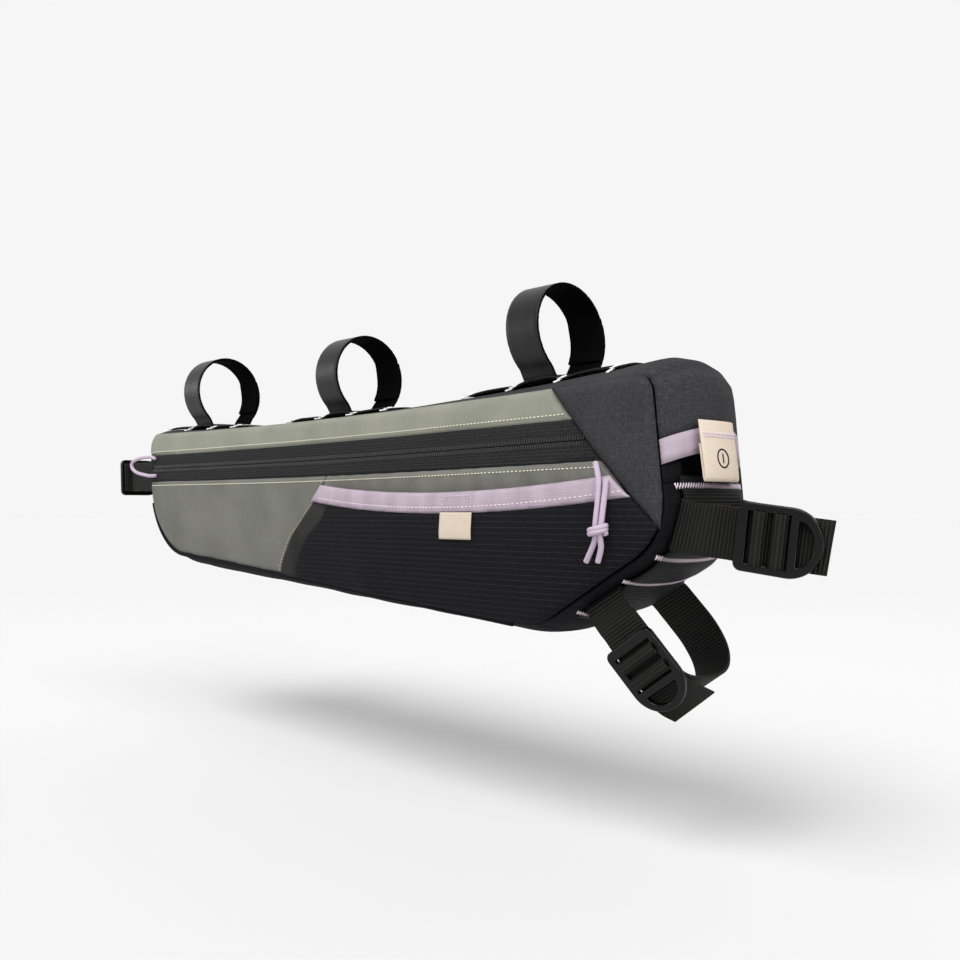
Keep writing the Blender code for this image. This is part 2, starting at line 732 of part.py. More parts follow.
def cut_corners(rows, rounds):
    """Rounds a ribbon by cutting the corners of its path."""
    for step in range(rounds):
        rounded = [rows[0]]
        for a, b in zip(rows, rows[1:]):
            rounded.append([p.lerp(q, 0.25) for p, q in zip(a, b)])
            rounded.append([p.lerp(q, 0.75) for p, q in zip(a, b)])
        rounded.append(rows[-1])
        rows = rounded
    return rows


def build_top_straps():
    forward = Vector((1.0, 0.0, 0.0))
    lift = SEAT + 0.5 * HOOK_TAPE
    radius = TOP_LOOP_RADIUS - 0.5 * HOOK_TAPE
    lap = radius + HOOK_TAPE + GAP
    for name, number, height in TOP_STRAPS:
        at = top_at(number * TOP_STRAP_PITCH)
        stretch = 0.5 * height / TOP_LOOP_RADIUS
        seated = [seated_row("top_gusset", at, 0.5 * TOP_CHAIN_WIDTH * share, lift, -TOP_STRAP_WIDTH)
                  for share in (1.25, 0.45, -0.45, -1.25)]
        base = gusset_point("top_gusset", at, 0.0, lift)
        centre = base + Vector((0.0, 0.0, 0.5 * height))

        def turn_row(degrees, spoke):
            angle = math.radians(degrees)
            place = centre + Vector((0.0, spoke * math.cos(angle), stretch * spoke * math.sin(angle)))
            return flat_row(place, forward, TOP_STRAP_WIDTH)

        rows = [turn_row(angle, lap) for angle in range(OVERLAP_START, -31, -18)]
        rows += seated + [turn_row(angle, radius) for angle in range(-152, -380, -19)]
        ribbon("top_strap_" + name, "hook_tape", cut_corners(rows, 1), HOOK_TAPE)


def strap_frame(aim, turn):
    """Direction and width direction of a strap that points aim degrees above forward."""
    angle = math.radians(aim)
    out = Vector((math.cos(angle), 0.0, math.sin(angle)))
    lean = math.radians(turn)
    side = Vector((-math.sin(lean), 0.0, math.cos(lean)))
    return out, side


def buckle_outline():
    """Outer outline and windows of a ladder-lock with a D end, in its own plane."""
    half = 0.5 * BUCKLE_WIDTH
    corner = 4 * MM
    inner = half - BUCKLE_SIDE
    d_start = D_BAR - 0.5 * D_BAR_WIDTH
    d_open = D_BAR + 0.5 * D_BAR_WIDTH

    def quarter(cx, cy, rx, ry, first, last, steps):
        turns = [first + (last - first) * i / steps for i in range(steps + 1)]
        return [(cx + rx * math.cos(math.radians(a)), cy + ry * math.sin(math.radians(a))) for a in turns]

    outer = quarter(corner, -half + corner, corner, corner, 180, 270, 4)
    outer += quarter(d_start, 0, BUCKLE_LENGTH - d_start, half, -90, 90, 12)
    outer += quarter(corner, half - corner, corner, corner, 90, 180, 4)
    loops = [outer]
    bars = ((BUCKLE_END_BAR, BAR_1 - 0.5 * BUCKLE_BAR), (BAR_1 + 0.5 * BUCKLE_BAR, BAR_2 - 0.5 * BUCKLE_BAR),
            (BAR_2 + 0.5 * BUCKLE_BAR, d_start))
    for low, high in bars:
        loops.append([(low, -inner), (high, -inner), (high, inner), (low, inner)])
    rim = D_RIM
    loops.append(quarter(d_open, 0, BUCKLE_LENGTH - rim - d_open, inner - 2 * MM, -90, 90, 10))
    return loops


def build_buckle(name, origin, out, side, normal):
    """A flat buckle with its square end at origin, running along out, its width along side."""
    shape = bpy.data.curves.new(name, "CURVE")
    shape.dimensions = "2D"
    shape.fill_mode = "BOTH"
    shape.extrude = 0.5 * BUCKLE_THICK
    for loop in buckle_outline():
        spline = shape.splines.new("POLY")
        spline.points.add(len(loop) - 1)
        for point, (x, y) in zip(spline.points, loop):
            point.co = (x, y, 0.0, 1.0)
        spline.use_cyclic_u = True
    obj = bpy.data.objects.new(name, shape)
    obj.matrix_world = frame_matrix(origin, out, side, normal)
    return put(obj, name, "black_plastic")


def frame_matrix(origin, out, side, normal):
    rows = []
    for i in range(3):
        rows.append((out[i], side[i], normal[i], origin[i]))
    rows.append((0.0, 0.0, 0.0, 1.0))
    return Matrix(rows)


def buckle_threads():
    """Webbing round the buckle's two bars, as (along, inwards) from the buckle's square end. The first
    list is the sewn end up to the near leg, the second the running end up to the tail."""
    over = -(0.5 * BUCKLE_THICK + WRAP_CLEAR + 0.5 * WEB)
    side = 0.5 * BUCKLE_BAR + WRAP_CLEAR + 0.5 * WEB
    under = 0.5 * BUCKLE_THICK + GAP + 0.5 * WEB
    deep = under + WEB + GAP
    sewn = [(-SEWN_END, deep), (BAR_1 + side, deep), (BAR_1 + side, over), (BAR_1 - side, over),
            (BAR_1 - side, under), (0.0, under), (-SEWN_LEG, under + 0.5 * WEB)]
    running = [(D_BAR + RUNNING_LAP, deep), (BAR_2 - side, deep), (BAR_2 - side, over),
               (BAR_2 + side, over), (BAR_2 + side, under), (D_BAR, under), (BUCKLE_LENGTH + TAIL_END, under)]
    return sewn, running


def build_strap(name, root, half, aim, turn_root, row, under):
    """One buckled strap and its buckle. under is the rows across the gusset beneath the ladder."""
    out = strap_frame(aim, 0.0)[0]
    across = Vector((0.0, 1.0, 0.0))
    lean = math.radians(row["tilt"])
    along = out * math.cos(lean) + across * math.sin(lean)
    inward = across * math.cos(lean) - out * math.sin(lean)
    reach = row["reach"]
    seat = root + out * (row["start"] * reach) + across * (row["depth"] * half)
    tip_side = strap_frame(aim, aim)[1]
    sewn, running = buckle_threads()

    def free_row(point):
        share = min(max((point - root).dot(out) / (row["start"] * reach), 0.0), 1.0)
        side = strap_frame(aim, turn_root + (aim - turn_root) * share)[1]
        return flat_row(point, side, STRAP_WIDTH)

    rows = [free_row(seat + along * a + inward * b) for a, b in sewn]
    rows += [free_row(root + out * (a * reach) + across * (b * half)) for a, b in reversed(NEAR_LEG)]
    rows += under
    rows += [free_row(root + out * (a * reach) + across * (b * half)) for a, b in row["far"]]
    rows += [free_row(seat + along * a + inward * b) for a, b in running]
    ribbon("strap_" + name, "black_webbing", cut_corners(rows, 1), WEB)
    build_buckle("buckle_" + name, seat, along, tip_side, along.cross(tip_side))


def build_front_straps():
    tacks = front_tacks()
    half = 0.5 * FRONT_CHAIN_WIDTH + STRAP_ROOT
    lift = SEAT + 0.5 * WEB
    for name, low, high in (("front_upper", tacks[0], tacks[1]), ("front_lower", tacks[2], tacks[3])):
        middle = 0.5 * (low + high)
        normal = seam(middle)[2]
        turn_root = math.degrees(math.atan2(normal.y, normal.x))
        under = [seated_row("chin_gusset", middle, share * 0.5 * FRONT_CHAIN_WIDTH, lift, STRAP_WIDTH)
                 for share in (-0.9, -0.4, 0.0, 0.4, 0.9)]
        root = edge_root("chin_gusset", middle, 0.5 * FRONT_CHAIN_WIDTH, lift)
        row = STRAPS[name]
        build_strap(name, root, half, row["aim"], turn_root, row, under)


def build_rear_strap():
    """The seat tube's strap: legs straight back, with the buckle across the loop's end."""
    low, high = rear_slot()
    middle = 0.5 * (low + high)
    lift = SEAT + 0.5 * WEB
    half = 0.5 * REAR_CHAIN_WIDTH + STRAP_ROOT
    back = Vector((-1.0, 0.0, 0.0))
    across = Vector((0.0, 1.0, 0.0))
    root = edge_root("rear_gusset", middle, 0.5 * REAR_CHAIN_WIDTH, lift)
    under = [seated_row("rear_gusset", middle, share * 0.5 * REAR_CHAIN_WIDTH, lift, -STRAP_WIDTH)
             for share in (-0.9, -0.4, 0.0, 0.4, 0.9)]
    lean = seam(middle)[1]
    side = Vector((lean.x, 0.0, lean.y))
    seat = root + back * REAR_REACH + across * (-0.5 * BUCKLE_LENGTH)
    sewn, running = buckle_threads()
    near = [root + back * (share * REAR_REACH) + across * (wide * half) for share, wide in REAR_NEAR]
    far = [root + back * (share * REAR_REACH) + across * (wide * half) for share, wide in REAR_FAR]
    points = [seat + across * a - back * b for a, b in sewn[1:-2]]
    rows = [flat_row(point, side, STRAP_WIDTH) for point in points + near] + under
    points = far + [seat + across * a - back * b for a, b in running]
    rows += [flat_row(point, side, STRAP_WIDTH) for point in points]
    ribbon("strap_rear", "black_webbing", cut_corners(rows, 1), WEB)
    build_buckle("buckle_rear", seat, across, side, across.cross(side))


def build_tag():
    """A folded loop of tape that hangs from the hood's bound edge over the cable port."""
    at = CORNER_AT["front_top"] + PORT_DROP - 0.9 * BINDING_WIDTH
    half = half_width(seam(at)[0].x) - FABRIC - GAP
    crest = 0.0
    for share in (-0.5, 0.0, 0.5):
        y = TAG_AT + share * TAG_WIDTH
        crest = max(crest, gusset_point("port_band", at + 0.5 * BINDING_WIDTH, y / half, 0.0).x)
    top = gusset_point("port_band", at, TAG_AT / half, 0.0)
    face = crest + 2 * GAP + 0.5 * TAG_THICK
    drop = TAG_DROP
    profile = [(face, 0.0), (face + TAG_OPEN * 0.7, -0.3 * drop), (face + TAG_OPEN * 1.6, -0.75 * drop),
               (face + TAG_OPEN * 1.5, -0.97 * drop), (face + TAG_OPEN * 0.9, -drop),
               (face + TAG_OPEN * 0.3, -0.95 * drop), (face + 0.1 * TAG_OPEN, -0.7 * drop)]
    across = Vector((0.0, 1.0, 0.0))
    rows = [flat_row(Vector((x, TAG_AT, top.z + z)), across, TAG_WIDTH) for x, z in profile]
    ribbon("port_tag", "cream_tape", cut_corners(rows, 1), TAG_THICK)


# Cords

def smooth_route(points, spacing):
    """Points about spacing apart on a Catmull-Rom curve through a cord's own points."""
    dense = []
    count = len(points)
    for i in range(count - 1):
        p0 = points[max(i - 1, 0)]
        p1, p2 = points[i], points[i + 1]
        p3 = points[min(i + 2, count - 1)]
        for step in range(16):
            t = step / 16
            dense.append(0.5 * ((2 * p1) + (p2 - p0) * t + (2 * p0 - 5 * p1 + 4 * p2 - p3) * t ** 2
                                + (3 * p1 - 3 * p2 + p3 - p0) * t ** 3))
    dense.append(points[-1])
    length = sum((b - a).length for a, b in zip(dense, dense[1:]))
    wanted = max(int(round(length / spacing)), 2)
    route = [dense[0]]
    walked = 0.0
    for a, b in zip(dense, dense[1:]):
        step = (b - a).length
        while len(route) < wanted and walked + step >= length * len(route) / wanted:
            share = (length * len(route) / wanted - walked) / step
            route.append(a.lerp(b, share))
        walked += step
    if len(route) <= wanted:
        route.append(dense[-1])
    else:
        route[-1] = dense[-1]
    return route


def cord(name, points, diameter):
    shape = bpy.data.curves.new(name, "CURVE")
    shape.dimensions = "3D"
    shape.bevel_depth = 0.5 * diameter
    shape.bevel_resolution = 2
    shape.use_fill_caps = True
    route = smooth_route(points, 2 * diameter)
    spline = shape.splines.new("POLY")
    spline.points.add(len(route) - 1)
    for point, place in zip(spline.points, route):
        point.co = (*place, 1.0)
    return put(bpy.data.objects.new(name, shape), name, "lavender")


def off_side(row):
    """A cord point given as x, its depth off the side's seam surface with the pocket's lift, and z."""
    x, depth, z = (value * MM for value in row)
    return Vector((x, -(half_width(x) + swell(x, z) + pocket_lift(x, z) + depth), z))


def build_cords():
    for name, rows in PULL_STRANDS.items():
        cord(name, [off_side(row) for row in rows], CORD)
    centre = off_side(KNOT_AT)
    bpy.ops.mesh.primitive_uv_sphere_add(segments=14, ring_count=8, radius=0.5)
    knot = bpy.context.active_object
    for group in list(knot.users_collection):
        group.objects.unlink(knot)
    for vertex in knot.data.vertices:
        vertex.co.x *= KNOT_WIDTH
        vertex.co.y *= 2 * CORD
        vertex.co.z *= KNOT_HEIGHT
    knot.location = centre
    put(knot, "pull_knot", "lavender")
    cord("zip_end_loop", [off_side(row) for row in END_LOOP], CORD)


clear_scene()
PARTS = collection("bicycle_frame_bag")
CUTTERS = collection("cutters")
SEAM_PIECES, CORNER_AT, SEAM_LENGTH = seam_pieces()
SEAM_POINTS = seam_polygon(SEAM_STEPS)
SEAM_CUTTER = prism("cut_seam", SEAM_POINTS, -2 * HALF_FRONT, 2 * HALF_FRONT)
build_sides()
build_gussets()
build_ladders()
build_top_straps()
build_front_straps()
build_rear_strap()
build_tag()
build_cords()
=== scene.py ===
"""The finished look of a bicycle frame bag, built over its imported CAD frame.

Metres. X points to the front of the bicycle, Z up, and the zip side faces -Y. The origin lies on the top
tube's axis, over the middle strap.
"""

import math

import bpy
import numpy as np
from mathutils import Matrix, Vector, noise
from mathutils.geometry import delaunay_2d_cdt


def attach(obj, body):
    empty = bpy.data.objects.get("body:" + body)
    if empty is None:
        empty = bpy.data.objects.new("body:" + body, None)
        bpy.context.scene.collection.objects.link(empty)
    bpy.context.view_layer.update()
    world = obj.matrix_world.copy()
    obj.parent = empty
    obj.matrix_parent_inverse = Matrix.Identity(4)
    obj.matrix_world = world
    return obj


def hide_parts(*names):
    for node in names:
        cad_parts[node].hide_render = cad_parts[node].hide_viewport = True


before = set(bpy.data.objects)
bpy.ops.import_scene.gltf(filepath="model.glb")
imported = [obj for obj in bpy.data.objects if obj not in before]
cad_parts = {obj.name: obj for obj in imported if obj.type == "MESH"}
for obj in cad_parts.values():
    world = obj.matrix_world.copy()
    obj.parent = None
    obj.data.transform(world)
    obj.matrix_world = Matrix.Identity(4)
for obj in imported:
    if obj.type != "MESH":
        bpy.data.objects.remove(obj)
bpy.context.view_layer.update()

MM = 0.001

# Sizes shared with the solids
GAP = 0.35 * MM
FABRIC = 1.6 * MM
WEB = 1.6 * MM
HOOK_TAPE = 1.8 * MM
CHAIN_THICK = 1.4 * MM
SEAT = 1.0 * MM
BAG_LENGTH = 568 * MM
BAG_DEPTH = 132 * MM
BAG_REAR = 271 * MM
TUBE_TO_SEAM = 34 * MM
HALF_FRONT = 36 * MM
HALF_REAR = 30 * MM
SIDE_PUFF = 4 * MM
PUFF_RUN = 50 * MM

CORNERS = (
    # name, along, down, radius, bow
    ("rear_top", 0.000, 0.000, 0.10, -0.030),
    ("front_top", 0.985, 0.000, 0.07, 0.000),
    ("chin", 1.000, 0.620, 0.26, 0.000),
    ("heel", 0.845, 1.000, 0.42, 0.000),
    ("rear_bottom", 0.012, 0.755, 0.50, 0.000),
)

ZIP_TOP = 54 * MM
ZIP_BAND = 22 * MM
MOUTH_DROP = 84 * MM
MOUTH_SAG = 7 * MM
BINDING_WIDTH = 12.5 * MM
POCKET_DEPTH = 7.5 * MM
POCKET_REAR = 7 * MM
LABEL_WIDTH = 27 * MM
LABEL_HEIGHT = 15 * MM
LABEL_AT = 157 * MM
DIAGONAL_TOP = 218 * MM
DIAGONAL_LEAN = 0.955

GORE_RUN = 61 * MM
GORE = (
    # down, gore, pocket
    (-0.10, -0.07, -0.14),
    (0.00, 0.00, -0.15),
    (0.16, 0.21, -0.14),
    (0.30, 0.44, 0.00),
    (0.44, 0.67, 0.29),
    (0.58, 0.83, 0.47),
    (0.70, 0.95, 0.60),
    (0.80, 1.00, 0.62),
    (1.10, 1.02, 0.62),
)

GUSSET_CROWN = 12 * MM
PORT_DROP = 38 * MM
PORT_HEIGHT = 13 * MM
PORT_HALF = 22 * MM
PORT_ARCH = 6 * MM
GUSSETS = {
    # name: start corner, run past it, end corner, run past it, crown at start, middle and end
    "top": ("rear_top", 0.0, "front_top", 0.0, 0.42, 0.22, 0.98),
    "front": ("front_top", 0.0, "front_top", PORT_DROP - BINDING_WIDTH, 0.98, 1.04, 1.00),
    "band": ("front_top", PORT_DROP - BINDING_WIDTH, "front_top", PORT_DROP, 1.02, 1.00, 0.98),
    "chin": ("front_top", PORT_DROP + MM, "heel", 0.0, 0.36, 0.36, 0.46),
    "bottom": ("heel", 0.0, "rear_bottom", 0.0, 0.50, 0.80, 0.84),
    "rear": ("rear_bottom", 0.0, "rear_top", 0.0, 0.84, 0.40, 0.42),
}

TOP_CHAIN_WIDTH = 38 * MM
TOP_TACK_PITCH = 38 * MM
TOP_HUMPS = (1.2 * MM, 2.6 * MM, 1.2 * MM)
CHAIN_END = 5 * MM
FRONT_CHAIN_WIDTH = 50 * MM
FRONT_TACKS = (36 * MM, 24 * MM, 36 * MM)
FRONT_CHAIN_DROP = 55 * MM
FRONT_HUMPS = (2.6 * MM, 1.5 * MM, 2.8 * MM)
REAR_CHAIN_WIDTH = 34 * MM
REAR_SLOT = 36 * MM
REAR_HUMPS = (2.6 * MM,)
REAR_STRAP_DROP = 33 * MM

TOP_STRAP_PITCH = 195 * MM
TOP_STRAP_WIDTH = 25 * MM
TOP_LOOP_RADIUS = 27.5 * MM
# Lean to the rear at the top, and how much lower the loop stands, by its place along the top
LOOP_SET = {-1: (-5 * MM, 1.0 * MM), 0: (-2.4 * MM, 0.0), 1: (-6 * MM, 3.4 * MM)}
TOP_STRAPS = (
    # name, place in pitches ahead of the middle strap, loop's height
    ("rear", -1, 58 * MM),
    ("middle", 0, 55 * MM),
    ("front", 1, 59 * MM),
)

STRAP_WIDTH = 25.8 * MM
STRAP_ROOT = 3 * MM
WRAP_CLEAR = 0.5 * MM
NEAR_LEG = (
    # along, across
    (0.00, -1.00),
    (0.08, -1.00),
    (0.20, -0.93),
)
STRAPS = {
    # name: degrees above forward, reach, the buckle's start and depth as shares, its tilt, far leg, and the
    # tail past the D bar as (along, deeper, twist)
    "front_upper": {"aim": -8.0, "reach": 80 * MM, "start": 0.39, "depth": -0.79, "tilt": 13.0,
                    "far": ((0.00, 1.00), (0.10, 1.00), (0.30, 0.72), (0.52, 0.30), (0.70, -0.04)),
                    "tail": ((8.0, 0.8, 4.0), (16.0, 2.4, 12.0))},
    "front_lower": {"aim": -56.0, "reach": 78 * MM, "start": 0.33, "depth": -0.93, "tilt": 18.0,
                    "far": ((0.00, 1.00), (0.14, 1.14), (0.36, 1.36), (0.58, 1.30), (0.74, 0.80)),
                    "tail": ((6.0, 1.2, 8.0), (12.0, 4.0, 25.0), (20.0, 11.0, 42.0))},
}
REAR_REACH = 62 * MM
REAR_NEAR = ((0.88, -1.00), (0.72, -1.12), (0.40, -1.06), (0.06, -1.00))
REAR_FAR = ((0.06, 1.00), (0.40, 1.12), (0.78, 1.25))
BUCKLE_LENGTH = 41.5 * MM
BUCKLE_WIDTH = 33 * MM
BUCKLE_THICK = 3.5 * MM
BUCKLE_END_BAR = 5.2 * MM
BUCKLE_SIDE = 3.9 * MM
BUCKLE_BAR = 3 * MM
BAR_1 = 11.0 * MM
BAR_2 = 20.8 * MM
D_BAR = 27.6 * MM
D_BAR_WIDTH = 4 * MM
D_RIM = 4 * MM

TAG_WIDTH = 33.5 * MM
TAG_DROP = 27 * MM
TAG_AT = -3.6 * MM
CORD = 3 * MM


# Materials

def shader_material(name, colour, rough, sheen=0.0, specular=0.08):
    """A Principled material, with its node tree and shader, for the weave functions to add to."""
    made = bpy.data.materials.new(name)
    made.use_nodes = True
    tree = made.node_tree
    shader = tree.nodes["Principled BSDF"]
    shader.inputs["Base Color"].default_value = (*colour, 1.0)
    shader.inputs["Roughness"].default_value = rough
    shader.inputs["Specular IOR Level"].default_value = specular
    shader.inputs["Sheen Weight"].default_value = sheen
    shader.inputs["Sheen Roughness"].default_value = 0.4
    return made, tree, shader


def math_node(tree, operation, a, b=None):
    node = tree.nodes.new("ShaderNodeMath")
    node.operation = operation
    for socket, value in zip(node.inputs, (a, b)):
        if value is None:
            continue
        if isinstance(value, (int, float)):
            socket.default_value = value
        else:
            tree.links.new(value, socket)
    return node.outputs[0]


def uv_axes(tree):
    """The piece's own surface coordinates, in metres along its two directions."""
    place = tree.nodes.new("ShaderNodeUVMap")
    place.uv_map = "UVMap"
    split = tree.nodes.new("ShaderNodeSeparateXYZ")
    tree.links.new(place.outputs[0], split.inputs[0])
    return place.outputs[0], split.outputs[0], split.outputs[1]


def wave01(tree, coordinate, pitch, phase=0.0):
    node = tree.nodes.new("ShaderNodeMath")
    node.operation = "MULTIPLY_ADD"
    tree.links.new(coordinate, node.inputs[0])
    node.inputs[1].default_value = 2 * math.pi / pitch
    node.inputs[2].default_value = phase
    wave = math_node(tree, "SINE", node.outputs[0])
    shift = tree.nodes.new("ShaderNodeMath")
    shift.operation = "MULTIPLY_ADD"
    tree.links.new(wave, shift.inputs[0])
    shift.inputs[1].default_value = 0.5
    shift.inputs[2].default_value = 0.5
    return shift.outputs[0]


def noise_at(tree, vector, scale, detail=2.0, stretch=(1.0, 1.0, 1.0)):
    mapping = tree.nodes.new("ShaderNodeMapping")
    mapping.inputs["Scale"].default_value = stretch
    tree.links.new(vector, mapping.inputs["Vector"])
    grain = tree.nodes.new("ShaderNodeTexNoise")
    grain.inputs["Scale"].default_value = scale
    grain.inputs["Detail"].default_value = detail
    tree.links.new(mapping.outputs[0], grain.inputs["Vector"])
    return grain.outputs["Fac"]


def tint(tree, shader, factor, low, high, span=(0.3, 0.7)):
    """Base colour between two colours by a factor."""
    ramp = tree.nodes.new("ShaderNodeMapRange")
    ramp.inputs["From Min"].default_value = span[0]
    ramp.inputs["From Max"].default_value = span[1]
    tree.links.new(factor, ramp.inputs["Value"])
    mix = tree.nodes.new("ShaderNodeMix")
    mix.data_type = "RGBA"
    mix.inputs["A"].default_value = (*low, 1.0)
    mix.inputs["B"].default_value = (*high, 1.0)
    tree.links.new(ramp.outputs[0], mix.inputs["Factor"])
    tree.links.new(mix.outputs["Result"], shader.inputs["Base Color"])
    return mix


def relief(tree, shader, height, distance, strength=1.0):
    bump = tree.nodes.new("ShaderNodeBump")
    bump.inputs["Distance"].default_value = distance
    bump.inputs["Strength"].default_value = strength
    tree.links.new(height, bump.inputs["Height"])
    tree.links.new(bump.outputs[0], shader.inputs["Normal"])
    return bump


def plain_weave(name, low, high, pitch, rough=0.85, sheen=0.0, depth=0.12 * MM, mottle=18.0):
    """Fine plain weave with a soft mottled tone."""
    made, tree, shader = shader_material(name, high, rough, sheen)
    place, u, v = uv_axes(tree)
    warp = wave01(tree, u, pitch)
    weft = wave01(tree, v, pitch)
    weave = math_node(tree, "MULTIPLY", warp, weft)
    cloud = noise_at(tree, place, mottle, 3.0)
    slub = noise_at(tree, place, 900.0, 2.0, (1.0, 0.25, 1.0))
    tone = math_node(tree, "ADD", math_node(tree, "MULTIPLY", cloud, 0.7), math_node(tree, "MULTIPLY", slub, 0.3))
    tint(tree, shader, tone, low, high, (0.36, 0.62))
    relief(tree, shader, weave, depth)
    return made


def heather(name, low, high):
    """Dark heather cloth with slubs both ways and a faint ripstop grid."""
    made, tree, shader = shader_material(name, low, 0.88)
    place, u, v = uv_axes(tree)
    across = noise_at(tree, place, 1500.0, 2.0, (0.2, 1.0, 1.0))
    down = noise_at(tree, place, 1500.0, 2.0, (1.0, 0.2, 1.0))
    slub = math_node(tree, "MULTIPLY", math_node(tree, "ADD", across, down), 0.5)
    cloud = noise_at(tree, place, 25.0, 3.0)
    tone = math_node(tree, "ADD", math_node(tree, "MULTIPLY", slub, 0.75), math_node(tree, "MULTIPLY", cloud, 0.25))
    grid = math_node(tree, "MAXIMUM", math_node(tree, "POWER", wave01(tree, u, 5.5 * MM), 40.0),
                     math_node(tree, "POWER", wave01(tree, v, 5.5 * MM), 40.0))
    broken = math_node(tree, "MULTIPLY", grid, noise_at(tree, place, 160.0, 1.0))
    lifted = math_node(tree, "ADD", tone, math_node(tree, "MULTIPLY", broken, 0.10))
    tint(tree, shader, lifted, low, high, (0.40, 0.66))
    weave = math_node(tree, "ADD", math_node(tree, "MULTIPLY", wave01(tree, u, 0.6 * MM), wave01(tree, v, 0.6 * MM)),
                      math_node(tree, "MULTIPLY", grid, 0.8))
    relief(tree, shader, weave, 0.10 * MM)
    return made


def ripstop(name, low, high, line, pitch):
    """Near-black ripstop with broken lighter ribs that run along the first direction."""
    made, tree, shader = shader_material(name, low, 0.8)
    place, u, v = uv_axes(tree)
    rib = math_node(tree, "POWER", wave01(tree, v, pitch), 22.0)
    dash = noise_at(tree, place, 420.0, 2.0, (0.45, 1.0, 1.0))
    dash = math_node(tree, "MULTIPLY", rib, dash)
    slub = noise_at(tree, place, 1300.0, 2.0, (0.3, 1.0, 1.0))
    base = tint(tree, shader, slub, low, high, (0.35, 0.65))
    mix = tree.nodes.new("ShaderNodeMix")
    mix.data_type = "RGBA"
    tree.links.new(base.outputs["Result"], mix.inputs["A"])
    mix.inputs["B"].default_value = (*line, 1.0)
    tree.links.new(dash, mix.inputs["Factor"])
    tree.links.new(mix.outputs["Result"], shader.inputs["Base Color"])
    weave = math_node(tree, "ADD", math_node(tree, "MULTIPLY", wave01(tree, u, 0.55 * MM), wave01(tree, v, 0.55 * MM)), rib)
    relief(tree, shader, weave, 0.14 * MM)
    return made


def webbing(name, low, high, pitch, columns, rough=0.6, sheen=0.0, depth=0.6 * MM, specular=0.18):
    """Woven tape: strong ribs across it, broken a little by the columns of its warp, with painted highlights on the rib
    tops and painted shade in the hollows.
    """
    made, tree, shader = shader_material(name, low, rough, sheen, specular)
    place, u, v = uv_axes(tree)
    rib = wave01(tree, u, pitch)
    column = wave01(tree, v, columns, 0.25)
    column = math_node(tree, "POWER", column, 0.4)
    column = math_node(tree, "ADD", math_node(tree, "MULTIPLY", column, 0.35), 0.65)
    height = math_node(tree, "MULTIPLY", math_node(tree, "POWER", rib, 0.7), column)
    yarn = noise_at(tree, place, 2400.0, 2.0)
    # Painted highlight and shade: the colour follows the rib height, lighter on the rib tops and darker in the hollows,
    # mixed with the yarn's own speckle.
    tint(tree, shader, math_node(tree, "ADD", math_node(tree, "MULTIPLY", height, 0.6), math_node(tree, "MULTIPLY", yarn, 0.4)),
         low, high, (0.1, 0.9))
    relief(tree, shader, height, depth)
    return made


def grosgrain(name, low, high, pitch):
    """Lavender tape with a fine slanted twill."""
    made, tree, shader = shader_material(name, high, 0.85)
    place, u, v = uv_axes(tree)
    slant = math_node(tree, "ADD", u, math_node(tree, "MULTIPLY", v, 0.7))
    twill = wave01(tree, slant, pitch)
    pick = wave01(tree, v, pitch * 0.9)
    height = math_node(tree, "MULTIPLY", twill, math_node(tree, "ADD", math_node(tree, "MULTIPLY", pick, 0.6), 0.4))
    cloud = noise_at(tree, place, 90.0, 2.0, (1.0, 0.3, 1.0))
    tint(tree, shader, math_node(tree, "ADD", math_node(tree, "MULTIPLY", height, 0.45), math_node(tree, "MULTIPLY", cloud, 0.6)),
         low, high, (0.15, 0.85))
    relief(tree, shader, height, 0.22 * MM)
    return made


def braid(name, low, high):
    """Braided cord, by position along and round it."""
    made, tree, shader = shader_material(name, high, 0.8)
    place, u, v = uv_axes(tree)
    one = wave01(tree, math_node(tree, "ADD", u, math_node(tree, "MULTIPLY", v, 1.4)), 1.15 * MM)
    two = wave01(tree, math_node(tree, "SUBTRACT", u, math_node(tree, "MULTIPLY", v, 1.4)), 1.15 * MM)
    height = math_node(tree, "MAXIMUM", one, two)
    tint(tree, shader, height, low, high, (0.3, 1.0))
    relief(tree, shader, height, 0.15 * MM)
    return made


def plain(name, colour, rough, grain=0.0, specular=0.4, sheen=0.0):
    made, tree, shader = shader_material(name, colour, rough, sheen, specular)
    if grain:
        place = tree.nodes.new("ShaderNodeTexCoord")
        fine = noise_at(tree, place.outputs["Object"], 2600.0, 2.0)
        relief(tree, shader, fine, grain)
    return made


def hook_tape(name):
    """Hook-and-loop tape: satin outside with streaks along it, dull pile inside."""
    made, tree, shader = shader_material(name, (0.004, 0.004, 0.004), 0.34, 0.0, 0.30)
    place, u, v = uv_axes(tree)
    streak = noise_at(tree, place, 240.0, 3.0, (0.06, 1.0, 1.0))
    rough = tree.nodes.new("ShaderNodeMapRange")
    rough.inputs["To Min"].default_value = 0.30
    rough.inputs["To Max"].default_value = 0.52
    tree.links.new(streak, rough.inputs["Value"])
    tree.links.new(rough.outputs[0], shader.inputs["Roughness"])
    tint(tree, shader, streak, (0.003, 0.003, 0.003), (0.008, 0.008, 0.008))
    rib = wave01(tree, u, 0.8 * MM)
    relief(tree, shader, math_node(tree, "ADD", math_node(tree, "MULTIPLY", rib, 0.25), streak), 0.10 * MM)
    return made


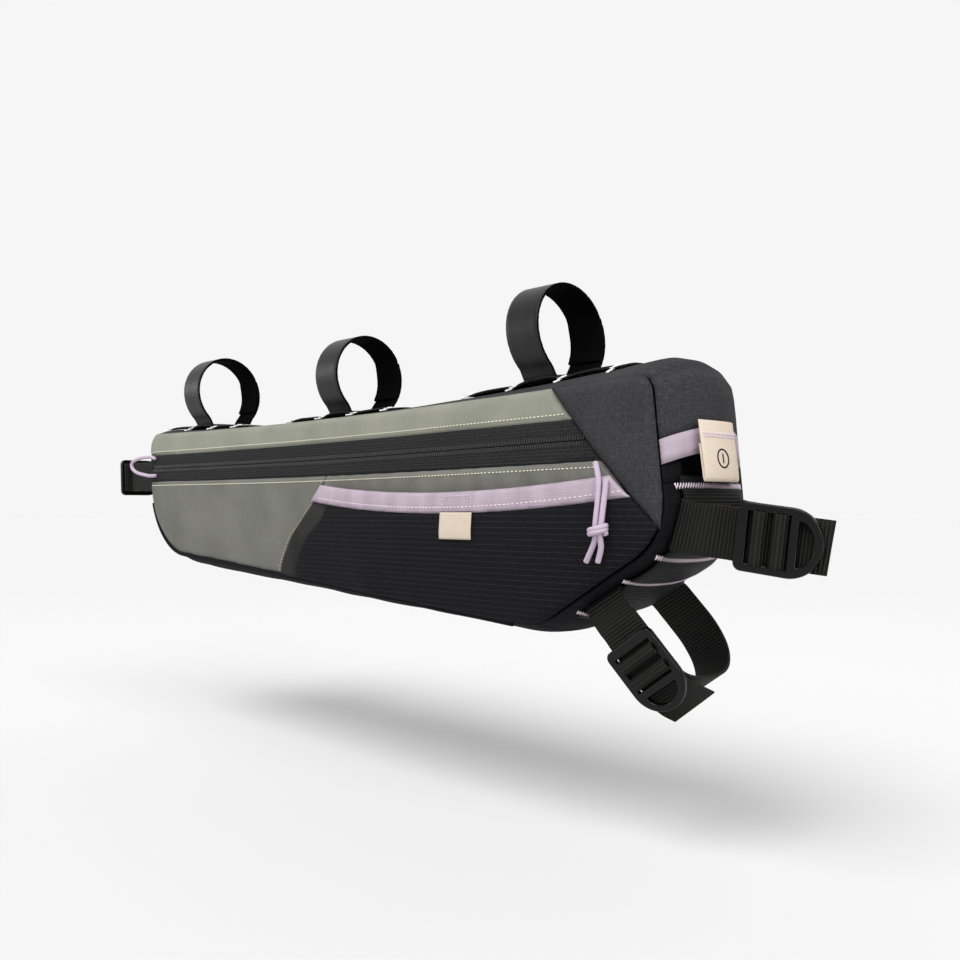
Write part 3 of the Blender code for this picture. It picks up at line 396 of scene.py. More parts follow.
MATERIALS = {
    "sage_light": plain_weave("sage_light", (0.212, 0.218, 0.180), (0.263, 0.268, 0.223), 0.55 * MM, mottle=22.0),
    "sage_dark": plain_weave("sage_dark", (0.134, 0.134, 0.120), (0.170, 0.169, 0.154), 0.55 * MM, mottle=22.0),
    "gore_cloth": plain_weave("gore_cloth", (0.018, 0.018, 0.017), (0.040, 0.040, 0.037), 0.55 * MM),
    "charcoal": heather("charcoal", (0.026, 0.026, 0.028), (0.052, 0.052, 0.056)),
    "ripstop": ripstop("ripstop", (0.0045, 0.0045, 0.0060), (0.0095, 0.0095, 0.0115), (0.030, 0.030, 0.033),
                       3.2 * MM),
    "gusset_cloth": ripstop("gusset_cloth", (0.004, 0.004, 0.005), (0.008, 0.008, 0.010), (0.012, 0.012, 0.014),
                            3.2 * MM),
    "zip_cloth": ripstop("zip_cloth", (0.012, 0.012, 0.013), (0.026, 0.026, 0.027), (0.060, 0.060, 0.061), 1.9 * MM),
    # Both webbings carry the painted rib highlights and hollow shade of webbing().
    "webbing": webbing("webbing", (0.0006, 0.0006, 0.0005), (0.0125, 0.012, 0.011), 1.9 * MM, 1.2 * MM),
    "chain_webbing": webbing("chain_webbing", (0.0015, 0.0015, 0.0015), (0.009, 0.0085, 0.008), 1.5 * MM, 1.6 * MM),
    "grosgrain": grosgrain("grosgrain", (0.32, 0.255, 0.31), (0.52, 0.44, 0.505), 0.9 * MM),
    "tape": plain_weave("tape", (0.49, 0.41, 0.335), (0.57, 0.49, 0.41), 0.5 * MM, 0.85, 0.0, 0.08 * MM),
    "cord": braid("cord", (0.36, 0.28, 0.36), (0.56, 0.47, 0.57)),
    "plastic": plain("plastic", (0.0012, 0.0012, 0.0012), 0.27, 0.02 * MM, 0.24),
    "coil": plain("coil", (0.022, 0.022, 0.022), 0.4, 0.0, 0.3),
    # The tag is the same cream tape as the label, painted paler: painted light on the tag's front face.
    "tag": plain_weave("tag", (0.60, 0.50, 0.405), (0.69, 0.59, 0.49), 0.5 * MM, 0.85, 0.0, 0.08 * MM),
    "hook": hook_tape("hook"),
    "hook_pile": plain("hook_pile", (0.0022, 0.0022, 0.0022), 0.9, 0.2 * MM, 0.02),
    "thread_cream": plain("thread_cream", (0.74, 0.68, 0.52), 0.8, specular=0.1),
    "thread_lavender": plain("thread_lavender", (0.72, 0.60, 0.68), 0.8, specular=0.1),
    "thread_white": plain("thread_white", (0.85, 0.82, 0.82), 0.8, specular=0.1),
    "ink": plain("ink", (0.012, 0.012, 0.012), 0.8, specular=0.1),
}


# Making pieces

def finish_piece(obj, look, nodes=(), smooth=True):
    obj.data.materials.clear()
    obj.data.materials.append(MATERIALS[look])
    if smooth and obj.type == "MESH":
        for polygon in obj.data.polygons:
            polygon.use_smooth = True
    if obj.name not in bpy.context.scene.collection.objects:
        bpy.context.scene.collection.objects.link(obj)
    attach(obj, "root")
    if nodes:
        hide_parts(*nodes)
    return obj


def mesh_piece(name, verts, faces, uvs, thickness=0.0, offset=-1.0, rounding=0.0):
    """A mesh object with a UV for each vertex, thickened and with soft rims."""
    mesh = bpy.data.meshes.new(name)
    mesh.from_pydata([tuple(v) for v in verts], [], [tuple(f) for f in faces])
    layer = mesh.uv_layers.new(name="UVMap")
    index = np.empty(len(mesh.loops), dtype=np.int32)
    mesh.loops.foreach_get("vertex_index", index)
    layer.data.foreach_set("uv", np.asarray(uvs, dtype=np.float32)[index].ravel())
    mesh.update()
    obj = bpy.data.objects.new(name, mesh)
    bpy.context.scene.collection.objects.link(obj)
    if thickness:
        mod = obj.modifiers.new("thickness", "SOLIDIFY")
        mod.thickness = thickness
        mod.offset = offset
        mod.use_even_offset = False
        mod.use_quality_normals = True
    if rounding:
        mod = obj.modifiers.new("rims", "BEVEL")
        mod.width = rounding
        mod.segments = 2
        mod.limit_method = "ANGLE"
        mod.angle_limit = math.radians(50)
    return obj


def grid_piece(name, rows, uv_rows, thickness, offset=-1.0, rounding=0.0):
    """rows of points as an array (rows, columns, 3)."""
    rows = np.asarray(rows)
    count, across = rows.shape[:2]
    faces = []
    for i in range(count - 1):
        for j in range(across - 1):
            a = i * across + j
            faces.append((a, a + across, a + across + 1, a + 1))
    return mesh_piece(name, rows.reshape(-1, 3), faces, np.asarray(uv_rows).reshape(-1, 2), thickness, offset, rounding)


# The seam, the side surfaces and the gussets

def corner_point(name):
    for row in CORNERS:
        if row[0] == name:
            return np.array((row[1] * BAG_LENGTH - BAG_REAR, -TUBE_TO_SEAM - row[2] * BAG_DEPTH))
    raise KeyError(name)


def unit(vector):
    return vector / np.linalg.norm(vector)


def seam_table(step):
    """Points all round the side seam, about step apart, with the length at each and at each corner."""
    count = len(CORNERS)
    points = [corner_point(row[0]) for row in CORNERS]
    arcs = []
    for i, row in enumerate(CORNERS):
        here = points[i]
        back = unit(points[i - 1] - here)
        ahead = unit(points[(i + 1) % count] - here)
        half_angle = 0.5 * math.acos(float(back @ ahead))
        radius = row[3] * BAG_DEPTH
        run = radius / math.tan(half_angle)
        centre = here + unit(back + ahead) * (radius / math.sin(half_angle))
        arcs.append((here + back * run, here + ahead * run, centre, radius, math.pi - 2 * half_angle))
    places, spots, corner_at = [], [], {}
    length = 0.0
    for i, row in enumerate(CORNERS):
        start, end, centre, radius, turn = arcs[i]
        spread = radius * turn
        corner_at[row[0]] = length + 0.5 * spread
        spoke = start - centre
        steps = max(int(spread / step), 4)
        for k in range(steps):
            angle = -turn * k / steps
            c, s = math.cos(angle), math.sin(angle)
            spots.append(centre + np.array((spoke[0] * c - spoke[1] * s, spoke[0] * s + spoke[1] * c)))
            places.append(length + spread * k / steps)
        length += spread
        following = arcs[(i + 1) % count][0]
        line = following - end
        side = float(np.linalg.norm(line))
        outward = np.array((-line[1], line[0])) / side
        steps = max(int(side / step), 4)
        for k in range(steps):
            share = k / steps
            bow = row[4] * BAG_DEPTH * 4 * share * (1 - share)
            spots.append(end + line * share + outward * bow)
            places.append(length + side * share)
        length += side
    return np.array(places), np.array(spots), corner_at, length


SEAM_AT, SEAM_XZ, CORNER_AT, SEAM_LENGTH = seam_table(1.5 * MM)
SEAM_STEP = np.roll(SEAM_XZ, -1, axis=0) - np.roll(SEAM_XZ, 1, axis=0)
SEAM_DIRECTION = SEAM_STEP / np.linalg.norm(SEAM_STEP, axis=1)[:, None]


def seam(at):
    """Points, directions and outward normals of the side seam at an array of lengths."""
    at = np.mod(np.asarray(at, dtype=float), SEAM_LENGTH)
    point = np.stack([np.interp(at, SEAM_AT, SEAM_XZ[:, k], period=SEAM_LENGTH) for k in range(2)], -1)
    line = np.stack([np.interp(at, SEAM_AT, SEAM_DIRECTION[:, k], period=SEAM_LENGTH) for k in range(2)], -1)
    line = line / np.linalg.norm(line, axis=-1)[..., None]
    return point, line, np.stack([-line[..., 1], line[..., 0]], -1)


def half_width(x):
    return HALF_REAR + (HALF_FRONT - HALF_REAR) * np.clip((x + BAG_REAR) / BAG_LENGTH, 0.0, 1.0)


def line_distance(x, z, line):
    """Distance of points from a polyline."""
    best = np.full(x.shape, 1.0)
    for (ax, az), (bx, bz) in zip(line[:-1], line[1:]):
        dx, dz = bx - ax, bz - az
        share = np.clip(((x - ax) * dx + (z - az) * dz) / (dx * dx + dz * dz), 0.0, 1.0)
        best = np.minimum(best, np.hypot(x - ax - dx * share, z - az - dz * share))
    return best


SEAM_LOOP = np.vstack([SEAM_XZ[::4], SEAM_XZ[:1]])


def swell(x, z):
    share = np.minimum(line_distance(x, z, SEAM_LOOP) / PUFF_RUN, 1.0)
    return SIDE_PUFF * (1 - (1 - share) ** 2)


def diagonal(z):
    return DIAGONAL_TOP + (-TUBE_TO_SEAM - z) * DIAGONAL_LEAN


def mouth(x):
    share = (x - POCKET_REAR) / (diagonal(-MOUTH_DROP) - POCKET_REAR)
    return -MOUTH_DROP - MOUTH_SAG * np.maximum(4 * share * (1 - share), -0.2)


GORE_TABLE = np.array(GORE)
LOWEST = -TUBE_TO_SEAM - BAG_DEPTH


def gore_line(z, column):
    down = (-MOUTH_DROP - z) / (-MOUTH_DROP - LOWEST)
    return POCKET_REAR - GORE_RUN * np.interp(down, GORE_TABLE[:, 0], GORE_TABLE[:, column])


def pocket_lift(x, z):
    rear = gore_line(z, 1)
    along = np.clip((x - rear) / (diagonal(z) - rear), 0.0, 1.0)
    up = np.clip((z - LOWEST) / (mouth(x) - LOWEST), 0.0, 1.0)
    fullness = np.sin(0.5 * math.pi * np.minimum(up / 0.7, 1.0))
    closing = 1.0 - 0.25 * np.maximum(0.0, (up - 0.7) / 0.3)
    return POCKET_DEPTH * np.sin(math.pi * along) ** 0.8 * fullness * closing


def rumple(x, z, scale, seed):
    """Smooth uneven heights about 0, from -1 to 1."""
    flat = [noise.noise(Vector((a * scale, b * scale, seed))) for a, b in zip(np.ravel(x), np.ravel(z))]
    return np.array(flat).reshape(np.shape(x))


def inside(x, z, loop):
    found = np.zeros(x.shape, dtype=bool)
    for (ax, az), (bx, bz) in zip(loop, np.roll(loop, -1, axis=0)):
        crosses = (az > z) != (bz > z)
        if abs(bz - az) > 1e-12:
            found ^= crosses & (x < ax + (z - az) * (bx - ax) / (bz - az))
    return found


def dense(points, spacing):
    """A closed outline with points about spacing apart."""
    points = np.asarray(points)
    out = []
    for a, b in zip(points, np.roll(points, -1, axis=0)):
        steps = max(int(round(np.linalg.norm(b - a) / spacing)), 1)
        for k in range(steps):
            out.append(a + (b - a) * k / steps)
    return np.array(out)


def panel(name, outline, level, look, nodes=(), spacing=2.5 * MM, thickness=FABRIC, tuck=1.2 * MM,
          tuck_run=2.5 * MM, side=-1, offset=-1.0):
    """A piece of a side: the part of an outline of (x, z) points that lies inside the side seam, on a
    surface that stands level(x, z) beyond the swell, with its edges tucked in."""
    outline = dense(outline, spacing)
    loop = SEAM_XZ[::2]
    low = np.maximum(outline.min(0), loop.min(0)) - spacing
    high = np.minimum(outline.max(0), loop.max(0)) + spacing
    gx, gz = np.meshgrid(np.arange(low[0], high[0], spacing), np.arange(low[1], high[1], spacing))
    gx = gx + 0.5 * spacing * (np.arange(gx.shape[0]) % 2)[:, None]
    gx, gz = gx.ravel(), gz.ravel()
    keep = inside(gx, gz, outline) & inside(gx, gz, loop)
    gx, gz = gx[keep], gz[keep]
    rim = np.minimum(line_distance(gx, gz, np.vstack([outline, outline[:1]])), line_distance(gx, gz, SEAM_LOOP))
    keep = rim > 0.45 * spacing
    grid = np.stack([gx[keep], gz[keep]], -1)
    loops = [outline, loop]
    points = np.vstack(loops + [grid])
    edges = []
    first = 0
    for ring in loops:
        count = len(ring)
        edges += [(first + k, first + (k + 1) % count) for k in range(count)]
        first += count
    made = delaunay_2d_cdt([Vector(p) for p in points], edges, [], 0, 1e-6)
    flat = np.array([tuple(v) for v in made[0]])
    faces = np.array([f for f in made[2] if len(f) == 3])
    centre = flat[faces].mean(1)
    faces = faces[inside(centre[:, 0], centre[:, 1], outline) & inside(centre[:, 0], centre[:, 1], loop)]
    used, faces = np.unique(faces, return_inverse=True)
    faces = faces.reshape(-1, 3)
    x, z = flat[used].T
    rim = np.minimum(line_distance(x, z, np.vstack([outline, outline[:1]])), line_distance(x, z, SEAM_LOOP))
    tucked = tuck * (1 - np.clip(rim / tuck_run, 0.0, 1.0)) ** 2
    y = side * (half_width(x) + swell(x, z) + level(x, z) - tucked)
    a, b, c = (flat[used][faces[:, k]] for k in range(3))
    turn = (b[:, 0] - a[:, 0]) * (c[:, 1] - a[:, 1]) - (b[:, 1] - a[:, 1]) * (c[:, 0] - a[:, 0])
    wrong = turn < 0 if side < 0 else turn > 0
    faces[wrong] = faces[wrong][:, ::-1]
    obj = mesh_piece(name, np.stack([x, y, z], -1), faces, np.stack([x, z], -1), thickness, offset)
    return finish_piece(obj, look, nodes)


def side_point(x, z, lift):
    """A point over the near side."""
    x, z = np.asarray(x, dtype=float), np.asarray(z, dtype=float)
    return np.stack([x, -(half_width(x) + swell(x, z) + lift), z], -1)


# Thread

def tube_mesh(name, points, radius, look, sides=8, closed_ends=True, nodes=()):
    """A round tube along points, with UVs along and round it."""
    points = np.asarray(points)
    radii = np.broadcast_to(radius, (len(points),))
    tangent = np.gradient(points, axis=0)
    tangent /= np.linalg.norm(tangent, axis=1)[:, None]
    side = np.cross(tangent[0], (0.3, 0.5, 0.8))
    sides_at = []
    for t in tangent:
        side = side - t * (side @ t)
        side = side / np.linalg.norm(side)
        sides_at.append(side)
    sides_at = np.array(sides_at)
    other = np.cross(tangent, sides_at)
    along = np.concatenate([[0.0], np.cumsum(np.linalg.norm(np.diff(points, axis=0), axis=1))])
    verts, uvs = [], []
    for k in range(sides + 1):
        angle = 2 * math.pi * k / sides
        ring = points + radii[:, None] * (sides_at * math.cos(angle) + other * math.sin(angle))
        verts.append(ring)
        uvs.append(np.stack([along, radii * angle], -1))
    verts = np.stack(verts, 1)
    uvs = np.stack(uvs, 1)
    count = len(points)
    faces = []
    for i in range(count - 1):
        for j in range(sides):
            a = i * (sides + 1) + j
            faces.append((a, a + 1, a + sides + 2, a + sides + 1))
    flat = verts.reshape(-1, 3)
    flat_uv = uvs.reshape(-1, 2)
    if closed_ends:
        extra = np.array([points[0], points[-1]])
        base = len(flat)
        flat = np.vstack([flat, extra])
        flat_uv = np.vstack([flat_uv, [[along[0], 0.0], [along[-1], 0.0]]])
        last = (count - 1) * (sides + 1)
        faces += [(base, j + 1, j) for j in range(sides)]
        faces += [(base + 1, last + j, last + j + 1) for j in range(sides)]
    obj = mesh_piece(name, flat, faces, flat_uv)
    weld(obj)
    return finish_piece(obj, look, nodes)


def weld(obj):
    """Closes the seam of a tube, keeping its UVs."""
    mod = obj.modifiers.new("seam", "WELD")
    mod.merge_threshold = 0.00001


def along_line(points, pitch):
    """Points and directions at even steps along a polyline."""
    points = np.asarray(points)
    run = np.concatenate([[0.0], np.cumsum(np.linalg.norm(np.diff(points, axis=0), axis=1))])
    count = max(int(run[-1] / pitch), 1)
    at = (np.arange(count) + 0.5) * run[-1] / count
    spots = np.stack([np.interp(at, run, points[:, k]) for k in range(3)], -1)
    ahead = np.stack([np.interp(at + 0.2 * pitch, run, points[:, k]) for k in range(3)], -1)
    back = np.stack([np.interp(at - 0.2 * pitch, run, points[:, k]) for k in range(3)], -1)
    line = ahead - back
    return spots, line / np.linalg.norm(line, axis=1)[:, None]


def stitches(name, points, look, pitch=3.0 * MM, length=1.7 * MM, radius=0.36 * MM, outward=(0, -1, 0)):
    """A row of separate stitches along a line on the cloth."""
    spots, lines = along_line(points, pitch)
    outward = np.broadcast_to(np.asarray(outward, dtype=float), spots.shape)
    rings = ((-0.5, 0.15, -0.6), (-0.33, 0.85, 0.1), (0.0, 1.0, 0.5), (0.33, 0.85, 0.1), (0.5, 0.15, -0.6))
    sides = 6
    verts, faces, uvs = [], [], []
    for spot, line, out in zip(spots, lines, outward):
        out = unit(out - line * (out @ line))
        side = np.cross(line, out)
        base = len(verts)
        for share, wide, high in rings:
            centre = spot + line * (share * length) + out * (high * radius)
            for k in range(sides):
                angle = 2 * math.pi * k / sides
                verts.append(centre + radius * wide * (side * math.cos(angle) + out * math.sin(angle)))
                uvs.append((share * length, radius * angle))
        for i in range(len(rings) - 1):
            for k in range(sides):
                a = base + i * sides + k
                b = base + i * sides + (k + 1) % sides
                faces.append((a, b, b + sides, a + sides))
        faces.append(tuple(base + k for k in reversed(range(sides))))
        faces.append(tuple(base + (len(rings) - 1) * sides + k for k in range(sides)))
    return finish_piece(mesh_piece(name, np.array(verts), faces, np.array(uvs)), look)


# The near side

EDGE = 0.5 * GAP
LAYER = FABRIC + GAP
LEFT = -BAG_REAR - 5 * MM
RIGHT = BAG_LENGTH - BAG_REAR + 5 * MM
TOP = -TUBE_TO_SEAM + 5 * MM
BOTTOM = LOWEST - 5 * MM


def zip_sag(x):
    """How much lower the zip band hangs than a straight line."""
    share = np.clip((x + 250 * MM) / (510 * MM), 0.0, 1.0)
    return 1.6 * MM * np.sin(math.pi * share) ** 1.2


def creases(x, z):
    """Slight unevenness of the near side's cloth."""
    soft = rumple(x, z, 22.0, 1.7) * 1.0 * MM
    slanted = rumple(x * 0.8 + z * 0.5, z * 0.8 - x * 0.25, 46.0, 6.1) * 0.7 * MM
    return soft + slanted


def level_at(base):
    def level(x, z):
        return base + creases(x, z)
    return level


def pocket_level(x, z):
    gathers = rumple(x, z * 0.35, 30.0, 9.4) * 1.4 * MM
    return LAYER + pocket_lift(x, z) + gathers * np.clip(pocket_lift(x, z) / (2 * MM), 0.0, 1.0)


def across_side(drop, x_from, x_to, steps=120):
    """Points of a line that runs along the zip, drop below the tube's axis."""
    x = np.linspace(x_from, x_to, steps)
    return np.stack([x, -drop - zip_sag(x)], -1)


def strip_outline(high, low):
    upper = across_side(high, LEFT, diagonal(-high) - EDGE) if high > 40 * MM else np.array(
        [(LEFT, TOP), (diagonal(TOP) - EDGE, TOP)])
    lower = across_side(low, LEFT, diagonal(-low) - EDGE)
    return np.vstack([upper, lower[::-1]])


def build_near_side():
    panel("upper_strip", strip_outline(0.0, ZIP_TOP), level_at(0.15 * MM), "sage_light", ["side_panel_upper"],
          tuck=1.5 * MM, tuck_run=3 * MM)
    tape_gap = 0.1 * MM
    coil = ZIP_TOP + 0.5 * ZIP_BAND
    panel("tape_upper", strip_outline(ZIP_TOP - 0.5 * MM, coil - tape_gap), level_at(-0.9 * MM), "zip_cloth",
          ["zipper_tape_upper", "zipper_coil"], tuck=0.1 * MM)
    panel("tape_lower", strip_outline(coil + tape_gap, ZIP_TOP + ZIP_BAND + 0.5 * MM), level_at(-0.9 * MM),
          "zip_cloth", ["zipper_tape_lower"], tuck=0.1 * MM)
    zip_low = ZIP_TOP + ZIP_BAND
    heights = np.linspace(-zip_low, BOTTOM, 60)
    seam_line = np.stack([gore_line(heights, 1), heights], -1)
    start = seam_line[0][0]
    upper = across_side(zip_low, LEFT, start)
    rear = np.vstack([upper, seam_line[1:], [(LEFT, BOTTOM)]])
    panel("lower_panel", rear, level_at(0.1 * MM), "sage_dark", ["side_panel_lower"], tuck=1.3 * MM,
          tuck_run=3.5 * MM)
    behind = heights[heights > -MOUTH_DROP - 26 * MM]
    upper = across_side(zip_low, start + 0.3 * MM, diagonal(-zip_low) - EDGE)
    edge = np.stack([diagonal(behind[::-1]) - EDGE, behind[::-1]], -1)[:-1]
    rear_edge = np.stack([gore_line(behind, 1) + 0.3 * MM, behind], -1)
    strip = np.vstack([upper, edge[::-1], rear_edge[1:][::-1]])

    def strip_level(x, z):
        low = np.clip((-zip_low - z) / (8 * MM), 0.0, 1.0)
        folds = 0.55 * MM * np.sin(2 * math.pi * x / (21 * MM) + 3 * rumple(x, z, 20.0, 4.0))
        return folds * low + creases(x, z)

    panel("pocket_back", strip, strip_level, "sage_dark", [], tuck=1.3 * MM, tuck_run=3 * MM)

    corner = [(diagonal(TOP) + EDGE, TOP), (diagonal(BOTTOM) + EDGE, TOP), (diagonal(BOTTOM) + EDGE, BOTTOM)]

    def corner_level(x, z):
        rear = np.clip((x - diagonal(z)) / (14 * MM), 0.0, 1.0)
        return LAYER + 0.9 * MM * rear ** 0.5 + 0.5 * MM * rumple(x, z, 40.0, 3.0)

    panel("corner_cloth", corner, corner_level, "charcoal", ["corner_panel"], tuck=3.0 * MM, tuck_run=4.5 * MM,
          thickness=FABRIC + 0.8 * MM)

    # Pocket, gore and bound edge
    deep = BINDING_WIDTH + EDGE
    tops = float(gore_line(mouth(POCKET_REAR) - deep, 2))
    heights = np.linspace(float(mouth(tops)) - deep + 2 * MM, BOTTOM, 50)
    rear = np.stack([gore_line(heights, 2), heights], -1)
    x = np.linspace(rear[0][0], diagonal(-MOUTH_DROP - deep) - EDGE, 90)
    upper = np.stack([x, mouth(x) - deep + 2 * MM], -1)
    panel("pocket_cloth", np.vstack([upper, [(diagonal(BOTTOM) - EDGE, BOTTOM)], rear[::-1][:-1]]), pocket_level,
          "ripstop", ["pocket_panel"], tuck=1.6 * MM, tuck_run=3 * MM)

    heights = np.linspace(float(mouth(POCKET_REAR)) - deep + 3 * MM, BOTTOM, 50)
    front = np.stack([gore_line(heights, 2) + 1.5 * MM, heights], -1)
    back = np.stack([gore_line(heights, 1) - 0.3 * MM, heights], -1)

    def gore_level(x, z):
        rear = gore_line(z, 1)
        ahead = np.maximum(gore_line(z, 2) - rear, 2 * MM)
        share = np.clip((x - rear) / ahead, 0.0, 1.0)
        fold = np.sin(math.pi * share) * 0.8 * MM
        return (FABRIC + 0.4 * MM) * (0.25 + 0.75 * share) + fold + 0.5 * MM * rumple(x, z, 60.0, 2.0) - 0.6 * MM

    panel("gore_cloth", np.vstack([front, back[::-1]]), gore_level, "gore_cloth", ["pocket_gore"],
          tuck=0.4 * MM, spacing=2 * MM)

    x = np.linspace(POCKET_REAR, diagonal(-MOUTH_DROP) - EDGE, 110)
    upper = np.stack([x, mouth(x)], -1)
    low_x = np.linspace(gore_line(mouth(POCKET_REAR) - BINDING_WIDTH, 1), diagonal(-MOUTH_DROP - BINDING_WIDTH)
                        - EDGE, 110)
    lower = np.stack([low_x, mouth(low_x) - BINDING_WIDTH], -1)

    def binding_level(x, z):
        drop = np.clip((mouth(x) - z) / BINDING_WIDTH, 0.0, 1.0)
        crown = 0.7 * MM * (1 - (2 * drop - 1) ** 4)
        puckers = 0.28 * MM * rumple(x * 1.0, z * 0.12, 160.0, 5.0)
        stitch = 0.35 * MM * np.exp(-((drop - 0.72) / 0.07) ** 2)
        return pocket_level(x, z) + 0.5 * MM + crown + puckers - stitch

    panel("binding_cloth", np.vstack([upper, lower[::-1]]), binding_level, "grosgrain", ["pocket_binding"],
          thickness=2.4 * MM, tuck=0.9 * MM, tuck_run=1.3 * MM, spacing=1.6 * MM)

    # Stitching on the near side
    def run(name, x, z, lift, look, **more):
        points = side_point(x, z, lift(x, z) + 0.12 * MM)
        stitches(name, points, look, **more)

    x = np.linspace(-262 * MM, diagonal(-ZIP_TOP) - 5 * MM, 400)
    run("stitching_above_zip", x, -ZIP_TOP - zip_sag(x) + 3.6 * MM, level_at(0.15 * MM), "thread_cream")
    x = np.linspace(-262 * MM, diagonal(-zip_low) - 3 * MM, 400)
    run("stitching_below_zip", x, -zip_low - zip_sag(x) - 3.6 * MM,
        lambda a, b: np.where(a < start, level_at(0.1 * MM)(a, b), strip_level(a, b)), "thread_cream")
    heights = np.linspace(-zip_low - 5 * MM, -146 * MM, 160)
    run("stitching_gore", gore_line(heights, 1) - 2.2 * MM, heights, level_at(0.1 * MM), "thread_cream",
        radius=0.22 * MM)
    x = np.linspace(POCKET_REAR + 1 * MM, diagonal(-MOUTH_DROP - BINDING_WIDTH) - 4 * MM, 300)
    run("stitching_binding", x, mouth(x) - 0.72 * BINDING_WIDTH, binding_level, "thread_lavender", pitch=3.3 * MM,
        length=2.0 * MM)
    box_x = (LABEL_AT - 0.5 * LABEL_WIDTH + 1 * MM, LABEL_AT + 0.5 * LABEL_WIDTH - 1 * MM)
    x = np.linspace(box_x[0], box_x[1], 40)
    run("stitching_label_top", x, mouth(x) - 2.5 * MM, binding_level, "thread_lavender", pitch=2.4 * MM,
        length=1.7 * MM, radius=0.2 * MM)
    for number, at in enumerate(box_x):
        z = np.linspace(mouth(np.array(at)) - 2.5 * MM, mouth(np.array(at)) - 0.72 * BINDING_WIDTH, 12)
        run("stitching_label_side_%d" % number, np.full(12, at), z, binding_level, "thread_lavender",
            pitch=2.2 * MM, length=1.6 * MM, radius=0.2 * MM)

    # Label
    top = float(mouth(np.array(LABEL_AT))) - BINDING_WIDTH + 0.5 * MM
    x = np.linspace(LABEL_AT - 0.5 * LABEL_WIDTH, LABEL_AT + 0.5 * LABEL_WIDTH, 24)
    z = np.linspace(top, top - LABEL_HEIGHT - 0.5 * MM, 14)
    gx, gz = np.meshgrid(x, z)
    bend = 0.25 * MM * np.sin(9 * (gx - LABEL_AT) / LABEL_WIDTH) + 0.9 * MM
    lift = pocket_level(gx, gz) + bend
    rows = side_point(gx, gz, lift)
    label = grid_piece("label_cloth", rows[::-1], np.stack([gx, gz], -1)[::-1], 0.6 * MM, -1.0)
    finish_piece(label, "tape", ["pocket_label"])
    for number, (low, high) in enumerate(((-7.0, 7.0), (-5.0, 5.0), (-7.0, 7.0))):
        x = np.linspace(LABEL_AT + low * MM, LABEL_AT + high * MM, 20)
        z = np.full(20, top - (4.6 + 3.2 * number) * MM)
        bend = 0.25 * MM * np.sin(9 * (x - LABEL_AT) / LABEL_WIDTH) + 0.9 * MM
        points = side_point(x, z, pocket_level(x, z) + bend)
        stitches("label_bars_%d" % number, points, "ink", pitch=2.6 * MM, length=1.7 * MM, radius=0.32 * MM)


def build_coil():
    """The zip's coil: two rows of small rounded bars, one for each turn."""
    pitch = 1.9 * MM
    coil = ZIP_TOP + 0.5 * ZIP_BAND
    x = np.arange(-258 * MM, diagonal(-coil) - 1 * MM, pitch)
    verts, faces = [], []
    shape = []
    for high, wide in ((-0.35, 1.0), (0.25, 1.0), (0.62, 0.55)):
        shape.append((high, wide))
    for row in (-1, 1):
        at = x + (0.25 * pitch if row > 0 else -0.25 * pitch)
        z_mid = -coil - zip_sag(at)
        depth = creases(at, z_mid) - 0.9 * MM
        base_y = -(half_width(at) + swell(at, z_mid) + depth)
        for cx, cy, cz in zip(at, base_y, z_mid):
            base = len(verts)
            for high, wide in shape:
                half_x = 0.27 * pitch * wide
                near, far = 0.35 * MM, 0.35 * MM + 2.5 * MM * (0.75 + 0.25 * wide)
                for dx, dz in ((-half_x, near), (half_x, near), (half_x, far), (-half_x, far)):
                    verts.append((cx + dx, cy - high * MM, cz + row * dz))
            for ring in range(len(shape) - 1):
                for k in range(4):
                    a = base + ring * 4 + k
                    b = base + ring * 4 + (k + 1) % 4
                    faces.append((a, b, b + 4, a + 4) if row > 0 else (a, a + 4, b + 4, b))
            top = [base + (len(shape) - 1) * 4 + k for k in range(4)]
            faces.append(tuple(top) if row > 0 else tuple(reversed(top)))
            bottom = [base + k for k in range(4)]
            faces.append(tuple(reversed(bottom)) if row > 0 else tuple(bottom))
    obj = mesh_piece("coil_teeth", np.array(verts), faces, np.zeros((len(verts), 2)))
    finish_piece(obj, "coil", [], smooth=False)


def build_far_side():
    loop = [(LEFT, TOP), (RIGHT, TOP), (RIGHT, BOTTOM), (LEFT, BOTTOM)]

    def level(x, z):
        return 0.8 * MM * rumple(x, z, 18.0, 12.0)

    panel("far_cloth", loop, level, "charcoal", ["far_side_panel"], spacing=4 * MM, side=1, tuck=1.5 * MM,
          tuck_run=4 * MM)


# Gussets

def gusset_span(name):
    row = GUSSETS[name]
    start = CORNER_AT[row[0]] + row[1]
    end = CORNER_AT[row[2]] + row[3]
    if end < start:
        end += SEAM_LENGTH
    return start, end


def gusset_point(name, at, across, offset=0.0):
    """Points over a gusset piece, from arrays of lengths along the seam and shares across."""
    start, end = gusset_span(name)
    first, middle, last = GUSSETS[name][4:]
    share = np.clip((at - start) / (end - start), 0.0, 1.0)
    crown = (first * (1 - share) * (1 - 2 * share) + middle * 4 * share * (1 - share)
             + last * share * (2 * share - 1)) * GUSSET_CROWN
    point, line, normal = seam(at)
    out = point + normal * (crown * (1 - np.abs(across) ** 2.4) + offset)[..., None]
    half = half_width(point[..., 0]) - FABRIC - GAP
    return np.stack([out[..., 0], across * half, out[..., 1]], -1)


def arch(name, share, across):
    if name == "front":
        return PORT_ARCH * across ** 2 * share
    if name == "band":
        return PORT_ARCH * across ** 2
    if name == "chin":
        return PORT_ARCH * across ** 2 * np.maximum(0.0, 1 - 6 * share)
    return np.zeros_like(across * share)


